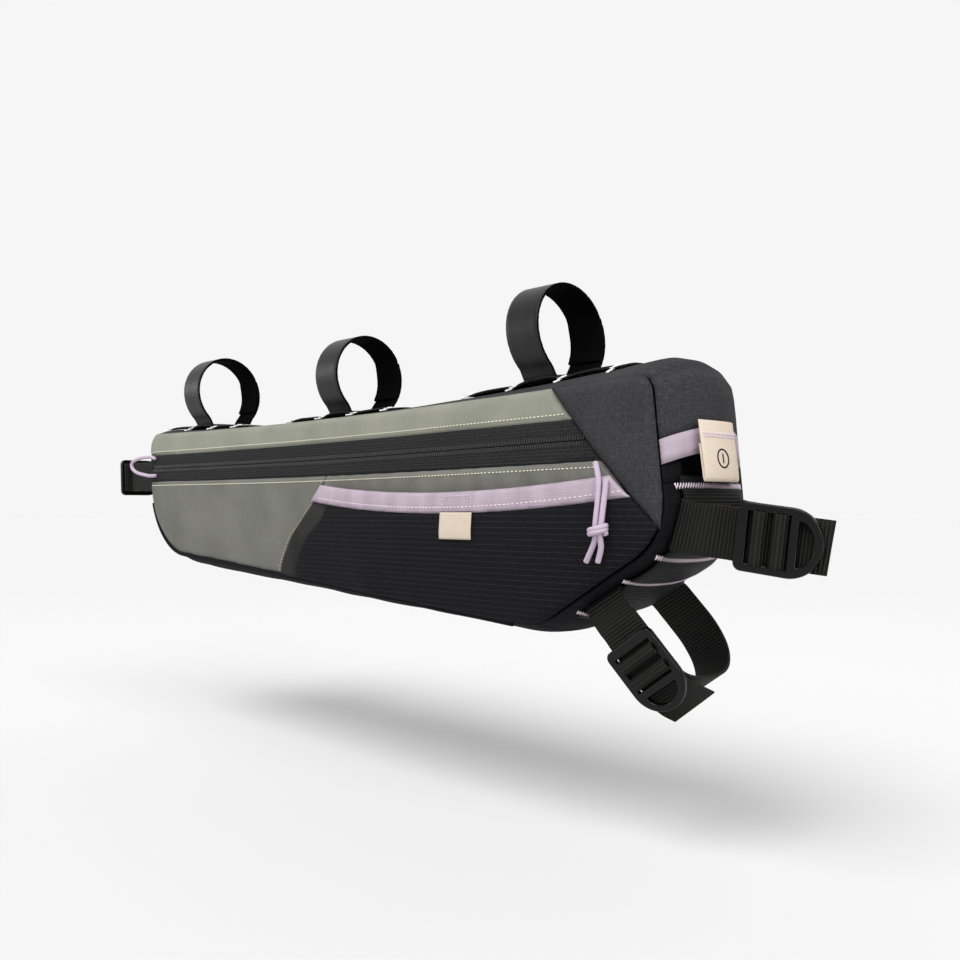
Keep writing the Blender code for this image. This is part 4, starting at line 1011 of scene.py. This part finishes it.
def gusset(name, look, nodes, thickness=FABRIC, wrinkle=0.5 * MM, extra=None, span=None, across=None, label=None):
    start, end = gusset_span(name)
    first, last = span or (start, end)
    at = np.linspace(first, last, max(int((last - first) / (3 * MM)), 3))
    t = np.linspace(*(across or (-1.0, 1.0)), 29)
    at, t = np.meshgrid(at, t, indexing="ij")
    share = (at - start) / (end - start)
    moved = at + arch(name, share, t)
    half = half_width(seam(at)[0][..., 0])
    offset = wrinkle * rumple(at, t * half, 34.0, 2.5 + len(name)) * (1 - np.abs(t) ** 3)
    if extra:
        offset = offset + extra(at, t)
    rows = gusset_point(name, moved, t, offset)
    piece = grid_piece(label or name + "_gusset_cloth", rows, np.stack([t * half, at], -1), thickness)
    return finish_piece(piece, look, nodes)


def tack_puffs(tacks, height):
    """Cloth drawn in at each tack line and full between them."""
    def extra(at, t):
        pull = np.zeros_like(at)
        for tack in tacks:
            pull += np.exp(-((at - tack) / (6 * MM)) ** 2)
        return -height * pull * np.exp(-(t / 0.85) ** 6)
    return extra


def build_rim():
    """The gusset's cloth rolled out past the side panel's edge, from the heel to below the rear strap."""
    at = np.arange(CORNER_AT["heel"] + 20 * MM, CORNER_AT["rear_top"] + SEAM_LENGTH - 54 * MM, 4 * MM)
    point, _, outward = seam(at)
    x, z = (point + 0.7 * MM * outward).T
    tube_mesh("rim_near", side_point(x, z, np.full(len(at), -1.4 * MM)), 1.7 * MM, "gusset_cloth")


def build_gussets():
    gusset("top", "charcoal", ["top_gusset"])
    build_rim()

    def forehead(at, t):
        start, end = gusset_span("front")
        share = (at - start) / (end - start)
        fold = -0.9 * MM * np.exp(-((share - 0.62 + 0.05 * t) / 0.05) ** 2) * np.clip(0.8 - t, 0.0, 1.0)
        fold += -0.7 * MM * np.exp(-((share - 0.28 - 0.10 * t) / 0.05) ** 2) * np.clip(0.5 + t, 0.0, 1.0)
        return fold

    gusset("front", "charcoal", ["front_gusset"], extra=forehead)
    gusset("band", "grosgrain", ["port_band"], thickness=2.0 * MM, wrinkle=0.25 * MM)
    start, end = gusset_span("chin")
    port_at = seam(CORNER_AT["front_top"] + PORT_DROP)[0]
    slot_low = CORNER_AT["front_top"] + PORT_DROP + PORT_HEIGHT
    puffs = tack_puffs(front_tacks(), 1.0 * MM)
    gusset("chin", "gusset_cloth", ["chin_gusset"], extra=puffs, span=(slot_low, end))
    share = PORT_HALF / float(half_width(port_at[0]) - FABRIC - GAP)
    for number, across in enumerate(((-1.0, -share), (share, 1.0))):
        gusset("chin", "gusset_cloth", [], span=(start, slot_low), across=across, label="port_side_%d" % number)
    gusset("bottom", "gusset_cloth", ["bottom_gusset"], wrinkle=0.9 * MM)
    gusset("rear", "gusset_cloth", ["rear_gusset"])


def port_lining():
    """The dark inside of the cable port: the hood's cloth turned in behind the bound edge."""
    start = CORNER_AT["front_top"] + PORT_DROP - 4 * MM
    at = np.linspace(start, start + PORT_HEIGHT + 10 * MM, 8)
    t = np.linspace(-0.8, 0.8, 15)
    at, t = np.meshgrid(at, t, indexing="ij")
    rows = gusset_point("chin", at, t, np.full(at.shape, -6 * MM))
    piece = grid_piece("port_flap", rows, np.stack([t * 30 * MM, at], -1), 0.8 * MM)
    return finish_piece(piece, "gusset_cloth")


# Ladders of webbing

def top_at(x):
    low, high = CORNER_AT["rear_top"], CORNER_AT["front_top"]
    at = np.linspace(low, high, 4000)
    return float(at[np.argmin(np.abs(seam(at)[0][:, 0] - x))])


def front_tacks():
    places = [CORNER_AT["front_top"] + FRONT_CHAIN_DROP]
    for pitch in FRONT_TACKS:
        places.append(places[-1] + pitch)
    return places


def ladder(name, piece, tacks, width, humps, nodes, end_run=CHAIN_END):
    """Webbing along a gusset, tacked down across at each length and arched between."""
    at = np.linspace(tacks[0] - end_run, tacks[-1] + end_run, int((tacks[-1] - tacks[0]) / (1.5 * MM)))
    height = np.zeros_like(at)
    for low, high, hump in zip(tacks, tacks[1:], humps):
        share = np.clip((at - low) / (high - low), 0.0, 1.0)
        height = np.maximum(height, hump * (1 - np.abs(2 * share - 1) ** 3.2))
    v = np.linspace(-0.5, 0.5, 13)
    grid_at, grid_v = np.meshgrid(at, v, indexing="ij")
    half = half_width(seam(grid_at)[0][..., 0]) - FABRIC - GAP
    lift = SEAT - 0.6 * MM + CHAIN_THICK + height[:, None] + 0.0 * grid_v
    lift = lift + 0.25 * MM * rumple(grid_at, grid_v * width, 60.0, 8.0)
    rows = gusset_point(piece, grid_at, grid_v * width / half, lift)
    made = grid_piece(name, rows, np.stack([grid_at, grid_v * width], -1), CHAIN_THICK)
    finish_piece(made, "chain_webbing", nodes)
    return at, height


def zigzag(name, piece, tack, width, look, rise, pitch=1.8 * MM, swing=1.3 * MM, radius=0.40 * MM, near=3 * MM):
    """A zigzag bar tack across a ladder."""
    count = int((width + near) / (0.5 * pitch))
    v = np.linspace(-0.5 * width - near, 0.5 * width, count)
    at = tack + swing * np.where(np.arange(count) % 2, 1.0, -1.0)
    at = at + 0.3 * MM * np.array([noise.noise(Vector((k * 0.7, tack * 900, 1.0))) for k in range(count)])
    half = half_width(seam(at)[0][..., 0]) - FABRIC - GAP
    points = gusset_point(piece, at, v / half, SEAT - 0.6 * MM + CHAIN_THICK + rise + 0.2 * MM)
    return tube_mesh(name, points, radius, look, sides=6)


def near_end(name, piece, tack, half_run):
    """The thick near end of a bar tack, over the ladder's edge and the cloth beside it."""
    v = np.linspace(-half_run - 7 * MM, -half_run + 3 * MM, 14)
    at = tack + 0.5 * MM * np.where(np.arange(14) % 2, 1.0, -1.0)
    half = half_width(seam(at)[0][..., 0]) - FABRIC - GAP
    rise = SEAT - 0.6 * MM + (CHAIN_THICK + 0.4 * MM) * np.clip((v + half_run + 4 * MM) / (4 * MM), 0.3, 1.0)
    return tube_mesh(name, gusset_point(piece, at, v / half, rise), 0.55 * MM, "thread_white", sides=6)


def build_ladders():
    for name, number, height in TOP_STRAPS:
        middle = top_at(number * TOP_STRAP_PITCH)
        tacks = [middle + TOP_TACK_PITCH * step for step in (-1.5, -0.5, 0.5, 1.5)]
        ladder("top_ladder_" + name, "top", tacks, TOP_CHAIN_WIDTH, TOP_HUMPS, ["top_chain_" + name])
        for step, tack in enumerate(tacks):
            zigzag("top_tack_%s_%d" % (name, step), "top", tack, TOP_CHAIN_WIDTH, "thread_white", -0.05 * MM,
                   radius=0.3 * MM)
            near_end("top_tack_end_%s_%d" % (name, step), "top", tack, 0.5 * TOP_CHAIN_WIDTH)
    ladder("front_ladder", "chin", front_tacks(), FRONT_CHAIN_WIDTH, FRONT_HUMPS, ["front_chain"])
    for step, tack in enumerate(front_tacks()):
        zigzag("front_tack_%d" % step, "chin", tack, FRONT_CHAIN_WIDTH + 3 * MM, "thread_lavender", 0.1 * MM)
    middle = CORNER_AT["rear_top"] + SEAM_LENGTH - REAR_STRAP_DROP
    slot = (middle - 0.5 * REAR_SLOT, middle + 0.5 * REAR_SLOT)
    ladder("rear_ladder", "rear", slot, REAR_CHAIN_WIDTH, REAR_HUMPS, ["rear_chain"])
    for step, tack in enumerate(slot):
        zigzag("rear_tack_%d" % step, "rear", tack, REAR_CHAIN_WIDTH, "thread_white", 0.1 * MM)


# Straps

def smooth(rows, rounds):
    for step in range(rounds):
        rounded = [rows[0]]
        for a, b in zip(rows, rows[1:]):
            rounded += [a * 0.75 + b * 0.25, a * 0.25 + b * 0.75]
        rounded.append(rows[-1])
        rows = rounded
    return np.array(rows)


def respace(rows, spacing):
    """Rows at even steps along a ribbon's middle line."""
    middle = rows[:, rows.shape[1] // 2]
    run = np.concatenate([[0.0], np.cumsum(np.linalg.norm(np.diff(middle, axis=0), axis=1))])
    at = np.linspace(0.0, run[-1], max(int(run[-1] / spacing), 4))
    flat = rows.reshape(len(rows), -1)
    made = np.stack([np.interp(at, run, flat[:, k]) for k in range(flat.shape[1])], -1)
    return made.reshape(len(at), rows.shape[1], 3), at


RIBBON = np.linspace(-0.5, 0.5, 9)


def flat_row(point, side, width):
    return np.array([point + side * (width * share) for share in RIBBON])


def seated_row(piece, at, y, lift, width):
    ats = at - width * RIBBON
    half = half_width(seam(ats)[0][:, 0]) - FABRIC - GAP
    return gusset_point(piece, ats, y / half, np.full(len(RIBBON), lift))


def edge_root(piece, at, y, lift):
    half = half_width(seam(np.array(at))[0][0]) - FABRIC - GAP
    place = gusset_point(piece, np.array(at), np.array(y / half), np.array(lift))
    return np.array((place[0], 0.0, place[2]))


def ribbon(name, look, rows, thickness, nodes, spacing=1.2 * MM, rough_edge=0.0, other_face=None):
    rows, along = respace(rows, spacing)
    width = np.linalg.norm(rows[:, -1] - rows[:, 0], axis=1)
    if rough_edge:
        for edge, inner in ((0, 1), (-1, -2)):
            line = rows[:, edge] - rows[:, inner]
            line /= np.linalg.norm(line, axis=1)[:, None]
            jag = np.array([noise.noise(Vector((a * 700, edge * 3.0, 0.0))) for a in along])
            rows[:, edge] += line * (rough_edge * jag)[:, None]
    u = np.broadcast_to(along[:, None], rows.shape[:2])
    v = width[:, None] * RIBBON[None, :]
    made = grid_piece(name, rows, np.stack([u, v], -1), thickness, 0.0, rounding=0.22 * thickness)
    finish_piece(made, look, nodes)
    if other_face:
        made.data.materials.append(MATERIALS[other_face])
        made.modifiers["thickness"].material_offset = 1
    return made


def build_top_straps():
    forward = np.array((1.0, 0.0, 0.0))
    lift = SEAT - 0.5 * MM + 0.5 * HOOK_TAPE
    radius = TOP_LOOP_RADIUS - 0.5 * HOOK_TAPE
    lap = radius + HOOK_TAPE + 0.1 * MM
    for name, number, height in TOP_STRAPS:
        at = top_at(number * TOP_STRAP_PITCH)
        lean, settle = LOOP_SET[number]
        height = height - settle
        stretch = 0.5 * height / TOP_LOOP_RADIUS
        seated = [seated_row("top", at, 0.5 * TOP_CHAIN_WIDTH * share, lift, -TOP_STRAP_WIDTH)
                  for share in (0.84, 0.45, -0.45, -0.84)]
        base = gusset_point("top", np.array(at), np.array(0.0), np.array(lift))
        centre = base + np.array((0.0, 0.0, 0.5 * height))

        def turn_row(degrees, spoke):
            angle = math.radians(degrees)
            up = stretch * spoke * math.sin(angle)
            place = centre + np.array((lean * (0.5 + up / height), spoke * math.cos(angle), up))
            return flat_row(place, forward, TOP_STRAP_WIDTH)

        rows = [turn_row(angle, lap) for angle in range(24, -47, -10)]
        rows += seated + [turn_row(angle, radius + (lap - radius) * min(1.0, max(0.0, (angle + 345) / 12.0)))
                          for angle in range(-132, -393, -10)]
        ribbon("hook_loop_" + name, "hook_pile", smooth(rows, 2), HOOK_TAPE, ["top_strap_" + name],
               rough_edge=0.35 * MM, other_face="hook")


def strap_frame(aim, turn):
    angle = math.radians(aim)
    lean = math.radians(turn)
    return (np.array((math.cos(angle), 0.0, math.sin(angle))),
            np.array((-math.sin(lean), 0.0, math.cos(lean))))


def buckle_threads():
    """Webbing round the buckle's two bars, as (along, inwards) from its square end."""
    over = -(0.5 * BUCKLE_THICK + WRAP_CLEAR + 0.5 * WEB)
    side = 0.5 * BUCKLE_BAR + WRAP_CLEAR + 0.5 * WEB
    under = 0.5 * BUCKLE_THICK + GAP + 0.5 * WEB
    deep = under + WEB + GAP
    sewn = [(-12 * MM, deep), (BAR_1 + side, deep), (BAR_1 + side, over), (BAR_1 - side, over),
            (BAR_1 - side, under), (0.0, under), (-6 * MM, under + 0.5 * WEB)]
    running = [(D_BAR + 6 * MM, deep), (BAR_2 - side, deep), (BAR_2 - side, over),
               (BAR_2 + side, over), (BAR_2 + side, under), (D_BAR, under)]
    dip = [(BAR_1 + 0.4 * side, 0.6 * over), (BAR_1 + side, 0.0), (0.5 * (BAR_1 + BAR_2), under),
           (BAR_2 - side, 0.0), (BAR_2 - 0.4 * side, 0.6 * over)]
    return sewn, running, dip


def buckle_outline():
    half = 0.5 * BUCKLE_WIDTH
    corner = 4 * MM
    inner = half - BUCKLE_SIDE
    d_start = D_BAR - 0.5 * D_BAR_WIDTH
    d_open = D_BAR + 0.5 * D_BAR_WIDTH

    def quarter(cx, cy, rx, ry, first, last, steps):
        turns = [math.radians(first + (last - first) * i / steps) for i in range(steps + 1)]
        return [(cx + rx * math.cos(a), cy + ry * math.sin(a)) for a in turns]

    outer = quarter(corner, -half + corner, corner, corner, 180, 270, 8)
    outer += quarter(d_start, 0, BUCKLE_LENGTH - d_start, half, -90, 90, 32)
    outer += quarter(corner, half - corner, corner, corner, 90, 180, 8)
    loops = [outer]
    bars = ((BUCKLE_END_BAR, BAR_1 - 0.5 * BUCKLE_BAR), (BAR_1 + 0.5 * BUCKLE_BAR, BAR_2 - 0.5 * BUCKLE_BAR),
            (BAR_2 + 0.5 * BUCKLE_BAR, d_start))
    for low, high in bars:
        loops.append([(low, -inner), (high, -inner), (high, inner), (low, inner)])
    loops.append(quarter(d_open, 0, BUCKLE_LENGTH - D_RIM - d_open, inner - 2 * MM, -90, 90, 28))
    return loops


def build_buckle(name, origin, out, side, normal, nodes):
    shape = bpy.data.curves.new(name, "CURVE")
    shape.dimensions = "2D"
    shape.fill_mode = "BOTH"
    round_off = 0.8 * MM
    shape.extrude = 0.5 * BUCKLE_THICK - round_off
    shape.bevel_depth = round_off
    shape.bevel_resolution = 3
    shape.offset = -round_off
    for loop in buckle_outline():
        spline = shape.splines.new("POLY")
        spline.points.add(len(loop) - 1)
        for point, (x, y) in zip(spline.points, loop):
            point.co = (x, y, 0.0, 1.0)
        spline.use_cyclic_u = True
    drawn = bpy.data.objects.new(name + "_drawn", shape)
    bpy.context.scene.collection.objects.link(drawn)
    bpy.context.view_layer.update()
    mesh = bpy.data.meshes.new_from_object(drawn.evaluated_get(bpy.context.evaluated_depsgraph_get()))
    bpy.data.objects.remove(drawn, do_unlink=True)
    obj = bpy.data.objects.new(name, mesh)
    rows = [(out[i], side[i], normal[i], origin[i]) for i in range(3)] + [(0.0, 0.0, 0.0, 1.0)]
    obj.matrix_world = Matrix(rows)
    finish_piece(obj, "plastic", nodes, smooth=False)
    for polygon in mesh.polygons:
        polygon.use_smooth = abs(polygon.normal.z) < 0.999
    return obj


def build_strap(name, root, half, aim, turn_root, row, under):
    out = strap_frame(aim, 0.0)[0]
    across = np.array((0.0, 1.0, 0.0))
    lean = math.radians(row["tilt"])
    along = out * math.cos(lean) + across * math.sin(lean)
    inward = across * math.cos(lean) - out * math.sin(lean)
    reach = row["reach"]
    seat = root + out * (row["start"] * reach) + across * (row["depth"] * half)
    tip_side = strap_frame(aim, aim)[1]
    sewn, running, dip = buckle_threads()

    def tail_row(share_along, deeper, twist):
        angle = math.radians(twist)
        point = seat + along * (D_BAR + share_along * MM) + inward * (0.5 * BUCKLE_THICK + GAP + deeper * MM)
        return flat_row(point, tip_side * math.cos(angle) + inward * math.sin(angle), STRAP_WIDTH)

    def free_row(point):
        share = min(max(float((point - root) @ out) / (row["start"] * reach), 0.0), 1.0)
        return flat_row(point, strap_frame(aim, turn_root + (aim - turn_root) * share)[1], STRAP_WIDTH)

    rows = [free_row(seat + along * a + inward * b) for a, b in sewn]
    rows += [free_row(root + out * (a * reach) + across * (b * half)) for a, b in reversed(NEAR_LEG)]
    rows += under
    rows += [free_row(root + out * (a * reach) + across * (b * half)) for a, b in row["far"]]
    rows += [free_row(seat + along * a + inward * b) for a, b in running]
    rows += [tail_row(*step) for step in row["tail"]]
    between = [free_row(seat + along * a + inward * b) for a, b in dip]
    ribbon("strap_dip_" + name, "webbing", smooth(between, 2), WEB, [])
    ribbon("strap_web_" + name, "webbing", smooth(rows, 3), WEB, ["strap_" + name])
    build_buckle("buckle_body_" + name, seat, along, tip_side, np.cross(along, tip_side), ["buckle_" + name])


def build_front_straps():
    tacks = front_tacks()
    half = 0.5 * FRONT_CHAIN_WIDTH + STRAP_ROOT
    lift = SEAT - 0.4 * MM + 0.5 * WEB
    for name, low, high in (("front_upper", tacks[0], tacks[1]), ("front_lower", tacks[2], tacks[3])):
        middle = 0.5 * (low + high)
        normal = seam(np.array(middle))[2]
        turn_root = math.degrees(math.atan2(normal[1], normal[0]))
        under = [seated_row("chin", middle, share * 0.5 * FRONT_CHAIN_WIDTH, lift, STRAP_WIDTH)
                 for share in (-0.9, -0.4, 0.0, 0.4, 0.9)]
        root = edge_root("chin", middle, 0.5 * FRONT_CHAIN_WIDTH, lift)
        row = STRAPS[name]
        build_strap(name, root, half, row["aim"], turn_root, row, under)


def build_rear_strap():
    middle = CORNER_AT["rear_top"] + SEAM_LENGTH - REAR_STRAP_DROP
    lift = SEAT - 0.4 * MM + 0.5 * WEB
    half = 0.5 * REAR_CHAIN_WIDTH + STRAP_ROOT
    back = np.array((-1.0, 0.0, 0.0))
    across = np.array((0.0, 1.0, 0.0))
    root = edge_root("rear", middle, 0.5 * REAR_CHAIN_WIDTH, lift)
    under = [seated_row("rear", middle, share * 0.5 * REAR_CHAIN_WIDTH, lift, -STRAP_WIDTH)
             for share in (-0.9, -0.4, 0.0, 0.4, 0.9)]
    lean = seam(np.array(middle))[1]
    side = np.array((lean[0], 0.0, lean[1]))
    seat = root + back * REAR_REACH + across * (-0.5 * BUCKLE_LENGTH - 7 * MM)
    sewn, running, dip = buckle_threads()
    near = [root + back * (share * REAR_REACH) + across * (wide * half) for share, wide in REAR_NEAR]
    far = [root + back * (share * REAR_REACH) + across * (wide * half) for share, wide in REAR_FAR]
    points = [seat + across * a - back * b for a, b in [(1.5 * MM, sewn[0][1])] + sewn[1:-2]]
    rows = [flat_row(point, side, STRAP_WIDTH) for point in points + near] + under
    points = far + [seat + across * a - back * b for a, b in running]
    rows += [flat_row(point, side, STRAP_WIDTH) for point in points]
    ribbon("strap_web_rear", "webbing", smooth(rows, 3), WEB, ["strap_rear"])
    build_buckle("buckle_body_rear", seat, across, side, np.cross(across, side), ["buckle_rear"])


def build_tag():
    """The folded loop of tape that hangs over the cable port."""
    at = CORNER_AT["front_top"] + PORT_DROP - 0.9 * BINDING_WIDTH
    half = float(half_width(seam(np.array(at))[0][0])) - FABRIC - GAP
    top = gusset_point("band", np.array(at), np.array(TAG_AT / half), np.array(0.0))
    crest = max(float(gusset_point("band", np.array(at + 0.5 * BINDING_WIDTH), np.array(y / half), np.array(0.0))[0])
                for y in (TAG_AT - 0.5 * TAG_WIDTH, TAG_AT, TAG_AT + 0.5 * TAG_WIDTH))
    face = crest + 0.9 * MM
    profile = ((0.6, 0.14), (1.2, -0.02), (2.2, -0.30), (3.9, -0.72), (4.4, -0.93), (4.0, -1.0), (3.4, -0.95), (2.6, -0.7),
               (1.0, -0.3))
    rows = []
    for x, z in profile:
        bend = 3.2 * MM * np.maximum(0.0, 2 * RIBBON) ** 3
        y = TAG_AT + TAG_WIDTH * RIBBON
        rows.append(np.stack([face + x * MM - bend, y, np.full(len(RIBBON), top[2] + z * TAG_DROP)], -1))
    # The tag's tape is the paler copy of the label's tape, with painted light on its front.
    ribbon("tag_tape", "tag", smooth(rows, 3), 0.8 * MM, ["port_tag"])
    front = np.array([(x, z) for x, z in profile[:5]])

    def on_face(y, down, lift):
        """Points on the tag's front, at shares down its drop."""
        x = np.interp(down, -front[:, 1], front[:, 0]) * MM + face + 0.4 * MM + lift
        bend = 3.2 * MM * np.maximum(0.0, 2 * (y - TAG_AT) / TAG_WIDTH) ** 3
        return np.stack([x - bend, y, top[2] - down * TAG_DROP], -1)

    for row in range(2):
        count = 34
        y = np.linspace(TAG_AT - 0.46 * TAG_WIDTH, TAG_AT + 0.48 * TAG_WIDTH, count)
        down = 0.10 + 0.055 * row + 0.018 * np.where(np.arange(count) % 2, 1.0, -1.0)
        tube_mesh("tag_tack_%d" % row, on_face(y, down, 0.15 * MM), 0.28 * MM, "thread_lavender", sides=6)
    turn = np.linspace(0.0, 2 * math.pi, 41)
    ring = on_face(TAG_AT - 0.5 * MM + 4.6 * MM * np.cos(turn), 0.56 + 0.17 * np.sin(turn), 0.02 * MM)
    tube_mesh("tag_mark_ring", ring, 0.42 * MM, "ink", sides=6, closed_ends=False)
    bar = on_face(np.full(8, TAG_AT - 0.5 * MM), np.linspace(0.47, 0.65, 8), 0.02 * MM)
    tube_mesh("tag_mark_bar", bar, 0.42 * MM, "ink", sides=6)


# Cords

def catmull(points, per=14):
    points = np.asarray(points)
    out = []
    count = len(points)
    for i in range(count - 1):
        p0, p1, p2, p3 = points[max(i - 1, 0)], points[i], points[i + 1], points[min(i + 2, count - 1)]
        for k in range(per):
            t = k / per
            out.append(0.5 * (2 * p1 + (p2 - p0) * t + (2 * p0 - 5 * p1 + 4 * p2 - p3) * t ** 2
                              + (3 * p1 - 3 * p2 + p3 - p0) * t ** 3))
    out.append(points[-1])
    return np.array(out)


PULL_REAR = ((257.2, 2.1, -77.5), (260.3, 4.3, -82), (262.3, 5.4, -88), (262.6, 5.8, -98), (262.0, 6.4, -108),
             (262.2, 6.6, -112), (261.4, 6.4, -116.5), (258.5, 5.4, -121), (253.5, 4.5, -128))
PULL_FRONT = ((266.3, 5, -86.5), (266.3, 5.4, -92), (266, 5.8, -100), (265.4, 6.4, -108.3), (264.4, 6.6, -112),
              (264.6, 6.4, -116.5), (263.9, 5.4, -121), (260.7, 4.5, -128))
END_LOOP = ((-252, 2.1, -56), (-263, 3, -54.5), (-279, 4, -55), (-291, 4, -58), (-292, 4, -63),
            (-284, 4, -67.5), (-270, 3, -70.3), (-259, 2.7, -71), (-250, 2.3, -71))


def off_side(rows):
    rows = np.array(rows) * MM
    x, depth, z = rows.T
    return side_point(x, z, pocket_lift(x, z) + depth)


def build_cords():
    rear = catmull(off_side(PULL_REAR))
    front = catmull(off_side(PULL_FRONT))
    loop = catmull(off_side(END_LOOP))
    centre = off_side(((263.2, 6.6, -112),))[0]
    turns = np.linspace(0.0, 2 * math.pi * 2.15, 70)
    wide = (4.5 * MM) * (1 + 0.05 * np.sin(3 * turns))
    knot = centre + np.stack([wide * np.cos(turns), 3.4 * MM * np.sin(turns),
                              2.0 * MM * (turns / turns[-1] - 0.5) * 2 + 0.7 * MM * np.sin(turns + 1.0)], -1)
    knot_piece = tube_mesh("cord_knot", knot, 0.5 * CORD * 0.92, "cord", sides=10, nodes=["pull_knot"])
    one = tube_mesh("cord_rear", rear, 0.5 * CORD, "cord", sides=12, nodes=["pull_strand_rear", "pull_tail_rear"])
    two = tube_mesh("cord_front", front, 0.5 * CORD, "cord", sides=12, nodes=["pull_strand_front", "pull_tail_front"])
    ring = tube_mesh("cord_loop", loop, 0.5 * CORD, "cord", sides=12, nodes=["zip_end_loop"])


# Stage

def sun(name, toward, strength, angle):
    """A soft light that comes from a direction, given as (x, y, z) from the bag."""
    data = bpy.data.lights.new(name, "SUN")
    data.energy = strength
    data.angle = math.radians(angle)
    obj = bpy.data.objects.new(name, data)
    bpy.context.scene.collection.objects.link(obj)
    obj.rotation_euler = Vector(toward).to_track_quat("Z", "Y").to_euler()


def build_world():
    """A pale backdrop behind the bag, with the rest of the room a little darker."""
    world = bpy.data.worlds.new("studio")
    bpy.context.scene.world = world
    world.use_nodes = True
    tree = world.node_tree
    place = tree.nodes.new("ShaderNodeTexCoord")
    facing = tree.nodes.new("ShaderNodeVectorMath")
    facing.operation = "DOT_PRODUCT"
    facing.inputs[1].default_value = (-0.7316, 0.6817, 0.0)
    tree.links.new(place.outputs["Generated"], facing.inputs[0])
    share = tree.nodes.new("ShaderNodeMapRange")
    share.interpolation_type = "SMOOTHSTEP"
    share.inputs["From Min"].default_value = 0.10
    share.inputs["From Max"].default_value = 0.72
    share.inputs["To Min"].default_value = ROOM
    share.inputs["To Max"].default_value = BACKDROP
    tree.links.new(facing.outputs["Value"], share.inputs["Value"])
    tree.links.new(share.outputs[0], tree.nodes["Background"].inputs["Strength"])
    tree.nodes["Background"].inputs["Color"].default_value = (1.0, 1.0, 1.0, 1.0)


BACKDROP = 0.921
ROOM = 0.42
FLOOR_LEVEL = -0.283
# Painted light on the floor: its colour goes from the first tone near the bag to the second far off, paler where the
# bag shades the floor.
FLOOR_PAINTED_LIGHT_TONES = (0.65, 0.622)
FLOOR_PAINTED_LIGHT_RUN = (0.7, 1.8)
FLOOR_REACH = 30.0


def build_floor():
    mesh = bpy.data.meshes.new("floor")
    corners = ((-1, -1), (1, -1), (1, 1), (-1, 1))
    mesh.from_pydata([(x * FLOOR_REACH, y * FLOOR_REACH, FLOOR_LEVEL) for x, y in corners], [], [(0, 1, 2, 3)])
    floor = bpy.data.objects.new("floor", mesh)
    bpy.context.scene.collection.objects.link(floor)
    pale = bpy.data.materials.new("floor_pale")
    pale.use_nodes = True
    shader = pale.node_tree.nodes["Principled BSDF"]
    nodes = pale.node_tree.nodes
    links = pale.node_tree.links
    # Painted light: the floor's colour is paler near the bag, where the bag shades it, and darker far off.
    where = nodes.new("ShaderNodeNewGeometry")
    distance = nodes.new("ShaderNodeVectorMath")
    distance.operation = "LENGTH"
    links.new(where.outputs["Position"], distance.inputs[0])
    painted_light = nodes.new("ShaderNodeMapRange")
    for name, value in zip(("From Min", "From Max", "To Min", "To Max"), FLOOR_PAINTED_LIGHT_RUN + FLOOR_PAINTED_LIGHT_TONES):
        painted_light.inputs[name].default_value = value
    links.new(distance.outputs["Value"], painted_light.inputs["Value"])
    links.new(painted_light.outputs["Result"], shader.inputs["Base Color"])
    shader.inputs["Roughness"].default_value = 1.0
    shader.inputs["Specular IOR Level"].default_value = 0.0
    mesh.materials.append(pale)


def build_stage():
    scene = bpy.context.scene
    scene.view_settings.view_transform = "Standard"
    build_world()
    build_floor()
    sun("key", (0.10, -0.65, 0.90), 2.4, 35)
    sun("front", (0.85, -0.30, 0.50), 1.9, 45)
    sun("left", (-0.90, -0.55, 0.25), 0.35, 14)

    data = bpy.data.cameras.new("camera")
    data.lens = 39.375
    data.sensor_width = 36.0
    data.clip_start = 0.01
    camera = bpy.data.objects.new("camera", data)
    scene.collection.objects.link(camera)
    yaw, pitch, roll = math.radians(47.02), math.radians(1.62), math.radians(-0.14)
    ahead = Vector((-math.sin(yaw) * math.cos(pitch), math.cos(yaw) * math.cos(pitch), math.sin(pitch)))
    right = Vector((math.cos(yaw), math.sin(yaw), 0.0))
    up = right.cross(ahead)
    turned_right = right * math.cos(roll) + up * math.sin(roll)
    turned_up = up * math.cos(roll) - right * math.sin(roll)
    place = Vector((0.6089, -0.4501, -0.1013))
    rows = [(turned_right[i], turned_up[i], -ahead[i], place[i]) for i in range(3)] + [(0.0, 0.0, 0.0, 1.0)]
    camera.matrix_world = Matrix(rows)
    scene.camera = camera


build_near_side()
build_coil()
build_far_side()
build_gussets()
port_lining()
build_ladders()
build_top_straps()
build_front_straps()
build_rear_strap()
build_tag()
build_cords()
build_stage()
